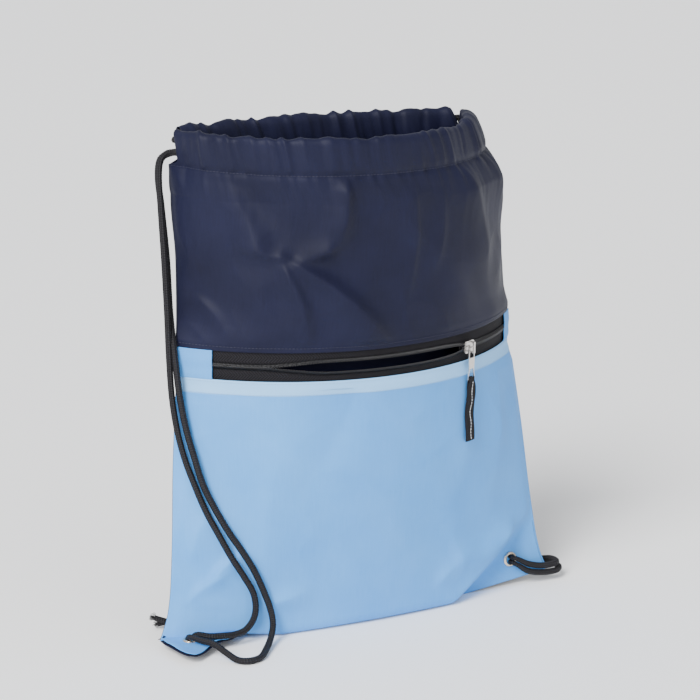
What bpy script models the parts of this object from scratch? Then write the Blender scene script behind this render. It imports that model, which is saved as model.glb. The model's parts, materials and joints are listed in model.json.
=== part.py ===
"""Drawstring backpack with a zipped front pocket, standing open on its bottom.

Metres, +Z up. The origin is on the floor under the middle of the bag, the pocket faces -Y and +X is to
the viewer's right. Each wall is a thin closed shell swept along circular arcs that meet at the side seams.
"""

import math

import bmesh
import bpy
from mathutils import Matrix, Vector

# Driving dimensions
HEIGHT = 0.440
CHANNEL_BOTTOM = 0.409
SEAM_Y = -0.014  # side seam at the floor
SEAM_LEAN = 0.146  # how far the side seam leans back for each metre up
CLOTH = 0.0010  # thickness of every fabric layer
GAP = 0.0003
LAYER = CLOTH + GAP
# shares of the half-width where the walls have their columns, closer together at the corners
COLUMNS = (-1, -0.95, -0.89, -0.81, -0.71, -0.58, -0.44, -0.30, -0.15, 0, 0.15, 0.30, 0.44, 0.56, 0.65, 0.71,
           0.77, 0.83, 0.89, 0.95, 1)

# (height, value) stations of the bag's cross-section
HALF_WIDTH = ((0, 0.199), (0.03, 0.187), (0.08, 0.180), (0.15, 0.174), (0.24, 0.1645), (0.33, 0.1585),
              (0.385, 0.159), (0.409, 0.1515), (0.44, 0.145))
FRONT_Y = ((0, -0.043), (0.05, -0.046), (0.12, -0.0505), (0.24, -0.0585), (0.34, -0.0645), (0.44, -0.0705))
BACK_BULGE = ((0, 0.068), (0.15, 0.051), (0.30, 0.034), (0.44, 0.0184))
CENTRE_X = ((0, 0), (0.385, 0), (0.409, -0.0075), (0.44, -0.016))
# (x, value) stations of how far the bottom edge is lifted at the two corners
LIFT = ((-0.20, 0.0075), (-0.14, 0.0075), (-0.09, 0), (0.105, 0), (0.175, 0.0075), (0.20, 0.010))

# Zip
ZIP_Z = 0.2437
ZIP_BAND = 0.019  # half-height that is kept upright for the slider
ZIP_BLEND = 0.035
HEM_EDGE = 0.0125  # from the zip's middle line to the edge of each panel
TAPE_OUT = 0.0165
TAPE_THICK = 0.0008
TEETH_HIGH = 0.0026
TEETH_DEEP = 0.0022
OPEN_HALF = 0.0044  # half of the open mouth
SLIDER_X = 0.086
MOUTH_X = -0.112  # where the open mouth ends
TEETH_X = (-0.141, 0.149)
TAPE_X = (-0.150, 0.156)
TAPE_INSET = 0.0010  # the tape's inner edge behind the teeth
TAB_X = {"left": (-0.1610, -0.1435), "right": (0.1510, 0.1620)}
TAB_HALF = HEM_EDGE - 0.0006
POCKET_DEEP = 0.0220

# Drawcords, eyelets and channels
CORD_RADIUS = 0.00275
EYELET_HOLE = 0.0046
EYELET_RIM = 0.0070
EAR_HOLE = 0.0054
CHANNEL_DEEP = 0.0092
CORD_Z = {"left": 0.4195, "right": 0.4305}  # the height of each cord inside the channels
LEFT_EYELET = (-0.1745, -0.0285, 0.0076)
RIGHT_EYELET = (0.154, SEAM_Y + SEAM_LEAN * 0.0246, 0.0246)
CREASE = ((0.100, 0.0), (0.172, 0.052))  # fold line above the flat right corner, as x and z
LEFT_EAR = ((-0.1950, -0.0190), (-0.1925, -0.0400), (-0.1880, -0.0550), (-0.1830, -0.0585), (-0.1770, -0.0555),
            (-0.1610, -0.0450), (-0.1400, -0.0370), (-0.1300, -0.0300), (-0.1450, -0.0180), (-0.1850, -0.0165))
EAR_BOTTOM, EAR_TOP = 0.0065, 0.0087

NAVY = (0.020, 0.025, 0.060, 1)
SKY = (0.22, 0.43, 0.73, 1)
BLACK = (0.012, 0.012, 0.014, 1)
STEEL = (0.62, 0.60, 0.58, 1)


def clear_scene():
    for thing in list(bpy.data.objects):
        bpy.data.objects.remove(thing, do_unlink=True)


def material(name, colour, roughness, metallic=0.0):
    made = bpy.data.materials.new(name)
    made.use_nodes = True
    shader = made.node_tree.nodes["Principled BSDF"]
    shader.inputs["Base Color"].default_value = colour
    shader.inputs["Roughness"].default_value = roughness
    shader.inputs["Metallic"].default_value = metallic
    made.diffuse_color = colour
    return made


def smooth_table(stations, at):
    """A smooth curve through (position, value) stations."""
    at = min(max(at, stations[0][0]), stations[-1][0])
    last = len(stations) - 1
    i = max(k for k in range(last) if stations[k][0] <= at)

    def slope(k):
        low, high = stations[max(k - 1, 0)], stations[min(k + 1, last)]
        return (high[1] - low[1]) / (high[0] - low[0])

    (a, start), (b, end) = stations[i], stations[i + 1]
    step = b - a
    t = (at - a) / step
    return (start * (1 + 2 * t) * (1 - t) ** 2 + end * t * t * (3 - 2 * t)
            + step * (slope(i) * t * (1 - t) ** 2 - slope(i + 1) * t * t * (1 - t)))


def straight_table(stations, at):
    for (a, start), (b, end) in zip(stations, stations[1:]):
        if at <= b:
            t = max(at - a, 0) / (b - a)
            return start + t * (end - start)
    return stations[-1][1]


def smooth_step(low, high, at):
    t = min(max((at - low) / (high - low), 0), 1)
    return t * t * (3 - 2 * t)


def upright_band(z):
    """The height whose cross-section is used at z, so that the zip's band stands upright."""
    off = abs(z - ZIP_Z)
    if off <= ZIP_BAND:
        return ZIP_Z
    if off >= ZIP_BLEND:
        return z
    return ZIP_Z + math.copysign(ZIP_BLEND * (off - ZIP_BAND) / (ZIP_BLEND - ZIP_BAND), z - ZIP_Z)


class Arc:
    """The plan curve of one wall at one height. facing is -1 for the front walls and +1 for the back."""

    def __init__(self, wall, z):
        level = upright_band(z)
        width = smooth_table(HALF_WIDTH, level)
        seam = SEAM_Y + SEAM_LEAN * level
        self.facing = 1 if wall == "back" else -1
        self.chord_y = seam + {"front": -0.0018, "lining": -0.0005, "back": 0.0018}[wall]
        if wall == "back":
            sag = smooth_table(BACK_BULGE, level)
        else:
            sag = seam - smooth_table(FRONT_Y, level) - 0.0018
        if wall == "lining":
            full = smooth_step(ZIP_Z + 0.027, ZIP_Z + 0.010, z) * (0.35 + 0.65 * smooth_step(0, 0.06, z))
            width -= 2 * LAYER * width * sag / (width * width + sag * sag) + 0.0012
            sag -= POCKET_DEEP * full + 0.0004
        self.middle_x = straight_table(CENTRE_X, level)
        self.radius = (width * width + sag * sag) / (2 * sag)
        self.centre_y = self.chord_y + self.facing * (sag - self.radius)
        self.reach = math.asin(width / self.radius)

    def at(self, across, inset=0.0):
        """The point at across (-1 at the left seam, +1 at the right), moved in by inset."""
        angle = across * self.reach
        size = self.radius - inset
        return self.middle_x + size * math.sin(angle), self.centre_y + self.facing * size * math.cos(angle)

    def across_of(self, x):
        return math.asin((x - self.middle_x) / self.radius) / self.reach


def fullness(wall, x, z):
    """1 where the bag is filled out, 0 on the flat corner outside the right crease."""
    (x0, z0), (x1, z1) = CREASE
    run = math.hypot(x1 - x0, z1 - z0)
    beyond = ((x - x0) * (z1 - z0) - (z - z0) * (x1 - x0)) / run
    early = 0.007 if wall == "lining" else 0
    return 1 - smooth_step(-0.016 - early, 0.002 - early, beyond)


def wall_point(wall, across, z):
    arc = Arc(wall, z)
    x, y = arc.at(across)
    return Vector((x, arc.chord_y + (y - arc.chord_y) * fullness(wall, x, z), z))


def folded_point(wall, across, along, top, length):
    """The point at distance along the cloth from the bottom seam: across the floor, then up the wall."""
    low = Arc(wall, 0)
    x, y = low.at(across)
    lift = straight_table(LIFT, x)
    if wall == "lining":
        lift += LAYER if x > -0.11 else 0.0018
    floor = abs(y - low.chord_y) * fullness(wall, x, lift)
    turn = max(min(0.012, 0.45 * floor), 0.0001)
    past = along - floor
    if past <= -turn:
        return Vector((x, low.chord_y + low.facing * along, lift))
    rise = (past + turn) ** 2 / (4 * turn) if past < turn else past
    z = lift + rise * (top - lift) / (length - floor)
    up = wall_point(wall, across, z)
    if past >= turn or floor < turn:
        return up
    share = (along - rise) / floor
    return Vector((up.x, low.chord_y + (up.y - low.chord_y) * share, z))


def object_of(name, mesh_builder, skin):
    mesh = bpy.data.meshes.new(name)
    mesh_builder.to_mesh(mesh)
    mesh_builder.free()
    mesh.materials.append(skin)
    made = bpy.data.objects.new(name, mesh)
    bpy.context.scene.collection.objects.link(made)
    mesh.shade_smooth()
    mesh.set_sharp_from_angle(angle=math.radians(35))
    return made


def shell(name, rows, skin, facing=-1):
    """A sheet of cloth from rows of points, given its thickness on the inner side."""
    build = bmesh.new()
    grid = [[build.verts.new(point) for point in row] for row in rows]
    for low, high in zip(grid, grid[1:]):
        for i in range(len(low) - 1):
            corners = (low[i], low[i + 1], high[i + 1], high[i])
            build.faces.new(corners if facing < 0 else corners[::-1])
    made = object_of(name, build, skin)
    thicken = made.modifiers.new("thickness", "SOLIDIFY")
    thicken.thickness = CLOTH
    thicken.offset = -1
    return made


def across_steps(count, start=-1.0, end=1.0):
    return [start + (end - start) * i / count for i in range(count + 1)]


def folded_wall(name, wall, alongs, top, skin):
    length = alongs[-1]
    rows = [[folded_point(wall, s, along, top, length) for s in COLUMNS] for along in alongs]
    return shell(name, rows, skin, 1 if wall == "back" else -1)


def upright_wall(name, wall, heights, skin):
    rows = [[wall_point(wall, s, z) for s in COLUMNS] for z in heights]
    return shell(name, rows, skin, 1 if wall == "back" else -1)


def swept(name, rings, skin):
    """A solid from equal rings of points along a path, with flat ends."""
    build = bmesh.new()
    made = [[build.verts.new(point) for point in ring] for ring in rings]
    count = len(made[0])
    for first, second in zip(made, made[1:]):
        for i in range(count):
            j = (i + 1) % count
            build.faces.new((first[i], first[j], second[j], second[i]))
    build.faces.new(made[0][::-1])
    build.faces.new(made[-1])
    bmesh.ops.recalc_face_normals(build, faces=build.faces)
    return object_of(name, build, skin)


def casing(name, wall, start, end, skin):
    """A hollow cloth tube along the rim, open at both ends."""
    low, high = CHANNEL_BOTTOM + GAP, HEIGHT
    outer = ((0, low), (0, high - 0.002), (0.002, high), (CHANNEL_DEEP - 0.002, high),
             (CHANNEL_DEEP, high - 0.002), (CHANNEL_DEEP, low))
    inner = ((CLOTH, low + CLOTH), (CLOTH, high - CLOTH - 0.0016), (0.0026, high - CLOTH),
             (CHANNEL_DEEP - 0.0026, high - CLOTH), (CHANNEL_DEEP - CLOTH, high - CLOTH - 0.0016),
             (CHANNEL_DEEP - CLOTH, low + CLOTH))
    build = bmesh.new()
    stops = []
    for s in across_steps(20, start, end):
        loops = []
        for loop in (outer, inner):
            points = [(*Arc(wall, z).at(s, inset), z) for inset, z in loop]
            loops.append([build.verts.new(point) for point in points])
        stops.append(loops)
    count = len(outer)
    for (out_a, in_a), (out_b, in_b) in zip(stops, stops[1:]):
        for i in range(count):
            j = (i + 1) % count
            build.faces.new((out_a[i], out_a[j], out_b[j], out_b[i]))
            build.faces.new((in_a[j], in_a[i], in_b[i], in_b[j]))
    for (out, inside), turned in ((stops[0], True), (stops[-1], False)):
        for i in range(count):
            j = (i + 1) % count
            corners = (out[i], out[j], inside[j], inside[i])
            build.faces.new(corners[::-1] if turned else corners)
    bmesh.ops.recalc_face_normals(build, faces=build.faces)
    return object_of(name, build, skin)


# Parts that follow the zip's arc

ZIP_STEP = 0.012
EVEN_STOPS = [TAPE_X[0] + ZIP_STEP * i for i in range(26)]
SLIDER_STOPS = [SLIDER_X + off for off in (-0.013, -0.0095, -0.0068, -0.0043, -0.002, 0, 0.005, 0.010)]
ZIP_STOPS = [x for x in EVEN_STOPS if abs(x - SLIDER_X) > ZIP_STEP] + SLIDER_STOPS
CLOSED_HALF = 0.0002  # half of the gap between the closed rows
MOUTH_CURVE = 0.0125  # how quickly the rows part behind the slider
MOUTH_TAPER = 0.060  # how slowly they meet again at the far end


def zip_arc():
    return Arc("front", ZIP_Z)


def mouth_half(x):
    """Half of the opening between the two rows of teeth at x."""
    behind = max(SLIDER_X - x, 0)
    before_end = max(x - MOUTH_X, 0)
    return CLOSED_HALF + OPEN_HALF * (1 - math.exp(-behind / MOUTH_CURVE)) * smooth_step(0, MOUTH_TAPER, before_end)


def zip_strip(name, x_range, edges, out_face, in_face, skin):
    """A strip along the zip. edges(x) gives the heights of its two edges above the zip's middle line."""
    arc = zip_arc()
    start, end = x_range
    rings = []
    for x in sorted({start, end} | {x for x in ZIP_STOPS if start < x < end}):
        s = arc.across_of(x)
        near, far = edges(x)
        corners = ((out_face, near), (out_face, far), (in_face, far), (in_face, near))
        rings.append([(*arc.at(s, -out), ZIP_Z + up) for out, up in corners])
    return swept(name, rings, skin)


def box(build, low, high):
    """Adds a box between two corners."""
    size = Vector(high) - Vector(low)
    middle = (Vector(high) + Vector(low)) / 2
    bmesh.ops.create_cube(build, size=1, matrix=Matrix.Translation(middle) @ Matrix.Diagonal((*size, 1)))


def hidden(thing):
    thing.hide_render = True
    thing.display_type = "WIRE"
    return thing


def boolean(target, tool, operation):
    step = target.modifiers.new(operation.lower(), "BOOLEAN")
    step.operation = operation
    step.solver = "EXACT"
    step.object = hidden(tool)


def joined(name, shapes, skin, place=None):
    """One solid from overlapping convex shapes, each a function that fills a bmesh."""
    made = []
    for i, fill in enumerate(shapes):
        build = bmesh.new()
        fill(build)
        bmesh.ops.recalc_face_normals(build, faces=build.faces)
        made.append(object_of(name if i == 0 else f"{name}_piece_{i}", build, skin))
        if place is not None:
            made[-1].matrix_world = place
    for other in made[1:]:
        boolean(made[0], other, "UNION")
    return made[0]


def rod(start, end, radius, sides=10):
    """Returns a function that adds a round rod between two points."""
    def fill(build):
        a, b = Vector(start), Vector(end)
        turn = (b - a).to_track_quat("Z", "Y").to_matrix().to_4x4()
        matrix = Matrix.Translation((a + b) / 2) @ turn
        bmesh.ops.create_cone(build, cap_ends=True, segments=sides, radius1=radius, radius2=radius,
                              depth=(b - a).length, matrix=matrix)
    return fill


def block(low, high, corner=0.0):
    """Returns a function that adds a box, with its edges along local Y rounded."""
    def fill(build):
        box(build, low, high)
        if corner:
            edges = [e for e in build.edges if abs((e.verts[0].co - e.verts[1].co).normalized().y) > 0.9]
            bmesh.ops.bevel(build, geom=edges, offset=corner, segments=3, profile=0.5, affect="EDGES")
    return fill


def prism(outline, low, high):
    """Returns a function that adds an outline in local X and Z, extruded along local Y."""
    def fill(build):
        front = [build.verts.new((x, low, z)) for x, z in outline]
        back = [build.verts.new((x, high, z)) for x, z in outline]
        build.faces.new(front)
        build.faces.new(back[::-1])
        for i in range(len(outline)):
            j = (i + 1) % len(outline)
            build.faces.new((front[j], front[i], back[i], back[j]))
    return fill


def slider_frame(z):
    """The slider's place: origin on the zip's axis of travel, local X along the zip, local -Y outwards."""
    arc = zip_arc()
    angle = arc.across_of(SLIDER_X) * arc.reach
    return Matrix.Translation((arc.middle_x, arc.centre_y, z)) @ Matrix.Rotation(angle, 4, "Z"), arc.radius


PULL_OUT = 0.0052  # the pull's axis, outwards of the zip's face
RIBBON_DROP = 0.0290  # the ribbon's bar below the pull's axis


def slider_parts(skins):
    place, radius = slider_frame(ZIP_Z)
    out = -radius
    joined("slider_body", (
        block((-0.0068, out - 0.0028, -0.0055), (0.0072, out - 0.0016, 0.0055), 0.0025),
        block((-0.0066, out + 0.0030, -0.0050), (0.0066, out + 0.0040, 0.0050), 0.0020),
        block((-0.0066, out - 0.0027, -0.0008), (-0.0044, out + 0.0034, 0.0008)),
        block((-0.0012, out - 0.0084, -0.0052), (0.0012, out - 0.0024, -0.0038)),
        block((-0.0012, out - 0.0084, 0.0038), (0.0012, out - 0.0024, 0.0052)),
        block((-0.0012, out - 0.0084, -0.0052), (0.0012, out - 0.0072, 0.0052)),
    ), skins["steel"], place)
    axis = (0, out - PULL_OUT, 0)
    place_pull = place @ Matrix.Translation(axis)
    half, plate = 0.0005, 0.00065
    joined("slider_pull", (
        rod((-0.0042, 0, 0), (0.0042, 0, 0), 0.0006),
        block((-0.0041, -half, -0.0110), (-0.0030, half, 0.0003)),
        block((0.0030, -half, -0.0110), (0.0041, half, 0.0003)),
        prism(((-0.0043, -0.0095), (-0.0037, -0.0195), (0.0037, -0.0195), (0.0043, -0.0095)), -plate, plate),
        prism(((-0.0035, -0.0185), (-0.0051, -0.0293), (-0.0043, -0.0293), (-0.0023, -0.0185)), -half, half),
        prism(((0.0023, -0.0185), (0.0043, -0.0293), (0.0051, -0.0293), (0.0035, -0.0185)), -half, half),
        rod((-0.0053, 0, -RIBBON_DROP), (0.0053, 0, -RIBBON_DROP), 0.0006, 8),
    ), skins["steel"], place_pull)
    place_ribbon = place_pull @ Matrix.Translation((0, 0, -RIBBON_DROP))
    outline = ((-0.0030, 0.0022), (-0.0030, -0.0030), (-0.0056, -0.0065), (-0.0057, -0.0570),
               (0.0057, -0.0570), (0.0056, -0.0065), (0.0030, -0.0030), (0.0030, 0.0022))
    ribbon = joined("pull_ribbon", (prism(outline, -0.0013, 0.0013),), skins["black_cloth"], place_ribbon)
    build = bmesh.new()
    rod((-0.02, 0, 0), (0.02, 0, 0), 0.0009)(build)
    tunnel = object_of("ribbon_tunnel", build, skins["black_cloth"])
    tunnel.matrix_world = place_ribbon
    boolean(ribbon, tunnel, "DIFFERENCE")


def turned(name, profile, skin, place, sides=24):
    """A ring turned about its local Z axis from a closed (radius, height) profile."""
    build = bmesh.new()
    rings = []
    for i in range(sides):
        turn = 2 * math.pi * i / sides
        rings.append([build.verts.new((r * math.cos(turn), r * math.sin(turn), h)) for r, h in profile])
    for i in range(sides):
        first, second = rings[i], rings[(i + 1) % sides]
        for j in range(len(profile)):
            k = (j + 1) % len(profile)
            build.faces.new((first[j], second[j], second[k], first[k]))
    bmesh.ops.recalc_face_normals(build, faces=build.faces)
    made = object_of(name, build, skin)
    made.matrix_world = place
    return made


def eyelet(name, place, half_cloth, skin):
    """A rolled eyelet whose barrel passes through the cloth, and the washer that closes it behind."""
    face = half_cloth + GAP
    hole, rim = EYELET_HOLE, EYELET_RIM
    turned(name, ((hole, face + 0.0008), (hole + 0.0007, face + 0.0013), (rim - 0.0010, face + 0.0010),
                  (rim, face), (hole + 0.0005, face), (hole + 0.0005, -face), (hole, -face)), skin, place)
    turned(f"{name}_washer", ((hole + 0.0008, -face), (rim - 0.0004, -face), (rim - 0.0010, -face - 0.0008),
                              (hole + 0.0012, -face - 0.0008)), skin, place)


def hole_cutter(name, place, skin):
    build = bmesh.new()
    rod((0, 0, -0.004), (0, 0, 0.004), EAR_HOLE, 20)(build)
    made = object_of(name, build, skin)
    made.matrix_world = place
    return made


# Cords

def smooth_route(points, step=0.003):
    """Close points on a smooth curve through the route, each with its radius factor and whether it must stay."""
    route = [Vector(p[:3]) for p in points]
    factors = [p[3] if len(p) > 3 else 1.0 for p in points]
    dense = []
    for i in range(len(route) - 1):
        a, b = route[i], route[i + 1]
        before = route[i - 1] if i else a
        after = route[i + 2] if i + 2 < len(route) else b
        length = (b - a).length
        slope_a = (b - before) / max((b - a).length + (a - before).length, 1e-9) * length
        slope_b = (after - a) / max((after - b).length + (b - a).length, 1e-9) * length
        count = max(round(length / step), 1)
        for k in range(count):
            t = k / count
            point = (a * (1 + 2 * t) * (1 - t) ** 2 + b * t * t * (3 - 2 * t)
                     + slope_a * t * (1 - t) ** 2 - slope_b * t * t * (1 - t))
            squeezed = k == 0 and factors[i] < 1
            dense.append((point, factors[i] + (factors[i + 1] - factors[i]) * t, squeezed))
    dense.append((route[-1], factors[-1], True))
    return dense


def thinned(dense, longest=0.021, shortest=0.0075, bend=math.radians(17)):
    """Leaves out points on the straighter stretches."""
    kept = [dense[0]]
    start = (dense[1][0] - dense[0][0]).normalized()
    for i in range(1, len(dense) - 1):
        gone = (dense[i][0] - kept[-1][0]).length
        now = (dense[i + 1][0] - dense[i][0]).normalized()
        if dense[i][2] or gone > longest or (gone > shortest and now.angle(start) > bend):
            kept.append(dense[i])
            start = now
    if (dense[-1][0] - kept[-1][0]).length < 0.004 and len(kept) > 2:
        kept.pop()
    kept.append(dense[-1])
    return kept


def cord(name, points, skin):
    kept = thinned(smooth_route(points))
    curve = bpy.data.curves.new(name, "CURVE")
    curve.dimensions = "3D"
    curve.bevel_depth = CORD_RADIUS
    curve.bevel_resolution = 2
    curve.use_fill_caps = True
    spline = curve.splines.new("POLY")
    spline.points.add(len(kept) - 1)
    for target, (point, factor, _) in zip(spline.points, kept):
        target.co = (*point, 1)
        target.radius = factor
    curve.materials.append(skin)
    made = bpy.data.objects.new(name, curve)
    bpy.context.scene.collection.objects.link(made)
    return made


def channel_route(wall, z, start, end, count):
    return [(*Arc(wall, z).at(s, CHANNEL_DEEP / 2), z) for s in across_steps(count, start, end)]


# Each route runs from the knot through the eyelet and up to its channel, with the cord squeezed in the eyelet
LEFT_INNER = (
    (-0.1690, 0.0058, 0.0046, 0.85), (-0.1705, -0.0100, 0.0031, 0.85), (-0.1720, -0.0230, 0.0026, 0.74),
    (-0.1722, -0.0275, 0.0040, 0.72), (-0.1722, -0.0286, 0.0076, 0.72), (-0.1722, -0.0288, 0.0115, 0.72),
    (-0.1690, -0.0315, 0.0140, 0.85), (-0.1610, -0.0385, 0.0135), (-0.1480, -0.0405, 0.0125),
    (-0.1370, -0.0395, 0.0115), (-0.1270, -0.0385, 0.0135), (-0.1200, -0.0388, 0.0215), (-0.1175, -0.0388, 0.0320),
    (-0.1194, -0.0378, 0.0460), (-0.1268, -0.0352, 0.0610), (-0.1365, -0.0310, 0.0785), (-0.1460, -0.0252, 0.0990),
    (-0.1547, -0.0185, 0.1190), (-0.1620, -0.0110, 0.1420), (-0.1680, -0.0035, 0.1650), (-0.1712, 0.0040, 0.1880),
    (-0.1727, 0.0110, 0.2150), (-0.1722, 0.0175, 0.2480), (-0.1716, 0.0220, 0.2850), (-0.1712, 0.0280, 0.3300),
    (-0.1712, 0.0345, 0.3750), (-0.1708, 0.0385, 0.4020), (-0.1670, 0.0430, 0.4140),
    (-0.1600, 0.0455, 0.4185), (-0.1548, 0.0428, 0.4195),
)
LEFT_OUTER = (
    (-0.1755, 0.0058, 0.0046, 0.85), (-0.1762, -0.0100, 0.0031, 0.85), (-0.1768, -0.0230, 0.0026, 0.74),
    (-0.1768, -0.0275, 0.0040, 0.72), (-0.1768, -0.0286, 0.0076, 0.72), (-0.1768, -0.0288, 0.0115, 0.72),
    (-0.1770, -0.0345, 0.0140, 0.85), (-0.1700, -0.0460, 0.0135), (-0.1640, -0.0545, 0.0130),
    (-0.1575, -0.0650, 0.0080), (-0.1510, -0.0745, 0.0036), (-0.1430, -0.0800, 0.0032), (-0.1310, -0.0775, 0.0032),
    (-0.1190, -0.0640, 0.0040), (-0.1080, -0.0500, 0.0080), (-0.1035, -0.0440, 0.0160), (-0.1042, -0.0420, 0.0270),
    (-0.1097, -0.0398, 0.0450), (-0.1182, -0.0370, 0.0660), (-0.1272, -0.0332, 0.0830), (-0.1378, -0.0280, 0.1010),
    (-0.1487, -0.0212, 0.1235), (-0.1560, -0.0150, 0.1430), (-0.1610, -0.0085, 0.1660), (-0.1648, -0.0015, 0.1880),
    (-0.1672, 0.0065, 0.2150), (-0.1678, 0.0150, 0.2480), (-0.1672, 0.0262, 0.2850), (-0.1670, 0.0325, 0.3300),
    (-0.1684, 0.0398, 0.3750), (-0.1690, 0.0450, 0.4020), (-0.1640, 0.0482, 0.4150),
)
RIGHT_INNER = (
    (0.1560, 0.0030, 0.0215, 0.80), (0.1545, -0.0035, 0.0255, 0.72), (0.1540, -0.0060, 0.0261, 0.72),
    (0.1540, -0.0104, 0.0268, 0.72), (0.1540, -0.0150, 0.0275, 0.72), (0.1580, -0.0182, 0.0265, 0.80),
    (0.1700, -0.0190, 0.0200), (0.1850, -0.0190, 0.0160), (0.1990, -0.0190, 0.0160), (0.2040, -0.0130, 0.0160),
    (0.2030, -0.0030, 0.0150), (0.1960, 0.0140, 0.0095), (0.1880, 0.0330, 0.0036), (0.1750, 0.0450, 0.0036),
    (0.1610, 0.0480, 0.0060), (0.1540, 0.0430, 0.0180), (0.1520, 0.0350, 0.0450), (0.1520, 0.0300, 0.0900),
    (0.1530, 0.0300, 0.1500), (0.1530, 0.0330, 0.2100), (0.1520, 0.0390, 0.2700), (0.1500, 0.0470, 0.3300),
    (0.1500, 0.0535, 0.3800), (0.1450, 0.0570, 0.4100), (0.1400, 0.0550, 0.4240), (0.1320, 0.0490, 0.4300),
)
RIGHT_OUTER = (
    (0.1590, 0.0035, 0.0165, 0.80), (0.1555, -0.0035, 0.0205, 0.72), (0.1540, -0.0060, 0.0216, 0.72),
    (0.1540, -0.0104, 0.0223, 0.72), (0.1540, -0.0150, 0.0229, 0.72), (0.1600, -0.0182, 0.0195, 0.80),
    (0.1700, -0.0195, 0.0130), (0.1850, -0.0195, 0.0095), (0.2000, -0.0195, 0.0090), (0.2075, -0.0130, 0.0092),
    (0.2090, -0.0030, 0.0085), (0.2045, 0.0170, 0.0055), (0.1970, 0.0380, 0.0036), (0.1810, 0.0530, 0.0036),
    (0.1610, 0.0570, 0.0060), (0.1490, 0.0500, 0.0180), (0.1455, 0.0400, 0.0450), (0.1450, 0.0345, 0.0900),
    (0.1460, 0.0345, 0.1500), (0.1460, 0.0380, 0.2100), (0.1450, 0.0445, 0.2700), (0.1435, 0.0525, 0.3300),
    (0.1430, 0.0595, 0.3800), (0.1380, 0.0625, 0.4100), (0.1330, 0.0600, 0.4240), (0.1260, 0.0510, 0.4300),
)
FRONT_ENDS = (-0.945, 0.945)
BACK_ENDS = (-0.915, 0.915)


def left_cord(skin):
    z = CORD_Z["left"]
    front = channel_route("front", z, FRONT_ENDS[0] + 0.02, FRONT_ENDS[1], 20)
    back = channel_route("back", z, BACK_ENDS[0], BACK_ENDS[1], 12)
    arc = Arc("front", z)
    corner = (arc.at(0.999, 0.0052)[0], arc.chord_y - 0.0062, z)
    return cord("drawcord_left", LEFT_INNER + tuple(front) + (corner,) + tuple(back[::-1]) + LEFT_OUTER[::-1], skin)


def right_cord(skin):
    z = CORD_Z["right"]
    front = channel_route("front", z, FRONT_ENDS[0], FRONT_ENDS[1], 20)
    back = channel_route("back", z, BACK_ENDS[0], BACK_ENDS[1], 12)
    arc = Arc("front", z)
    corner = (arc.at(-0.999, 0.0052)[0], arc.chord_y - 0.0062, z)
    route = RIGHT_INNER + tuple(front[::-1]) + (corner,) + tuple(back) + RIGHT_OUTER[::-1]
    return cord("drawcord_right", route, skin)


def knot(name, centre, tails, skin):
    """An overhand knot as a rounded lump, with the two cut ends standing out of it."""
    def lump(build):
        bmesh.ops.create_icosphere(build, subdivisions=2, radius=1.0)
        bmesh.ops.scale(build, vec=(0.0072, 0.0066, 0.0062), verts=build.verts)
    shapes = [lump] + [rod(start, end, 0.0025, 8) for start, end in tails]
    return joined(name, shapes, skin, Matrix.Translation(centre))


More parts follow.
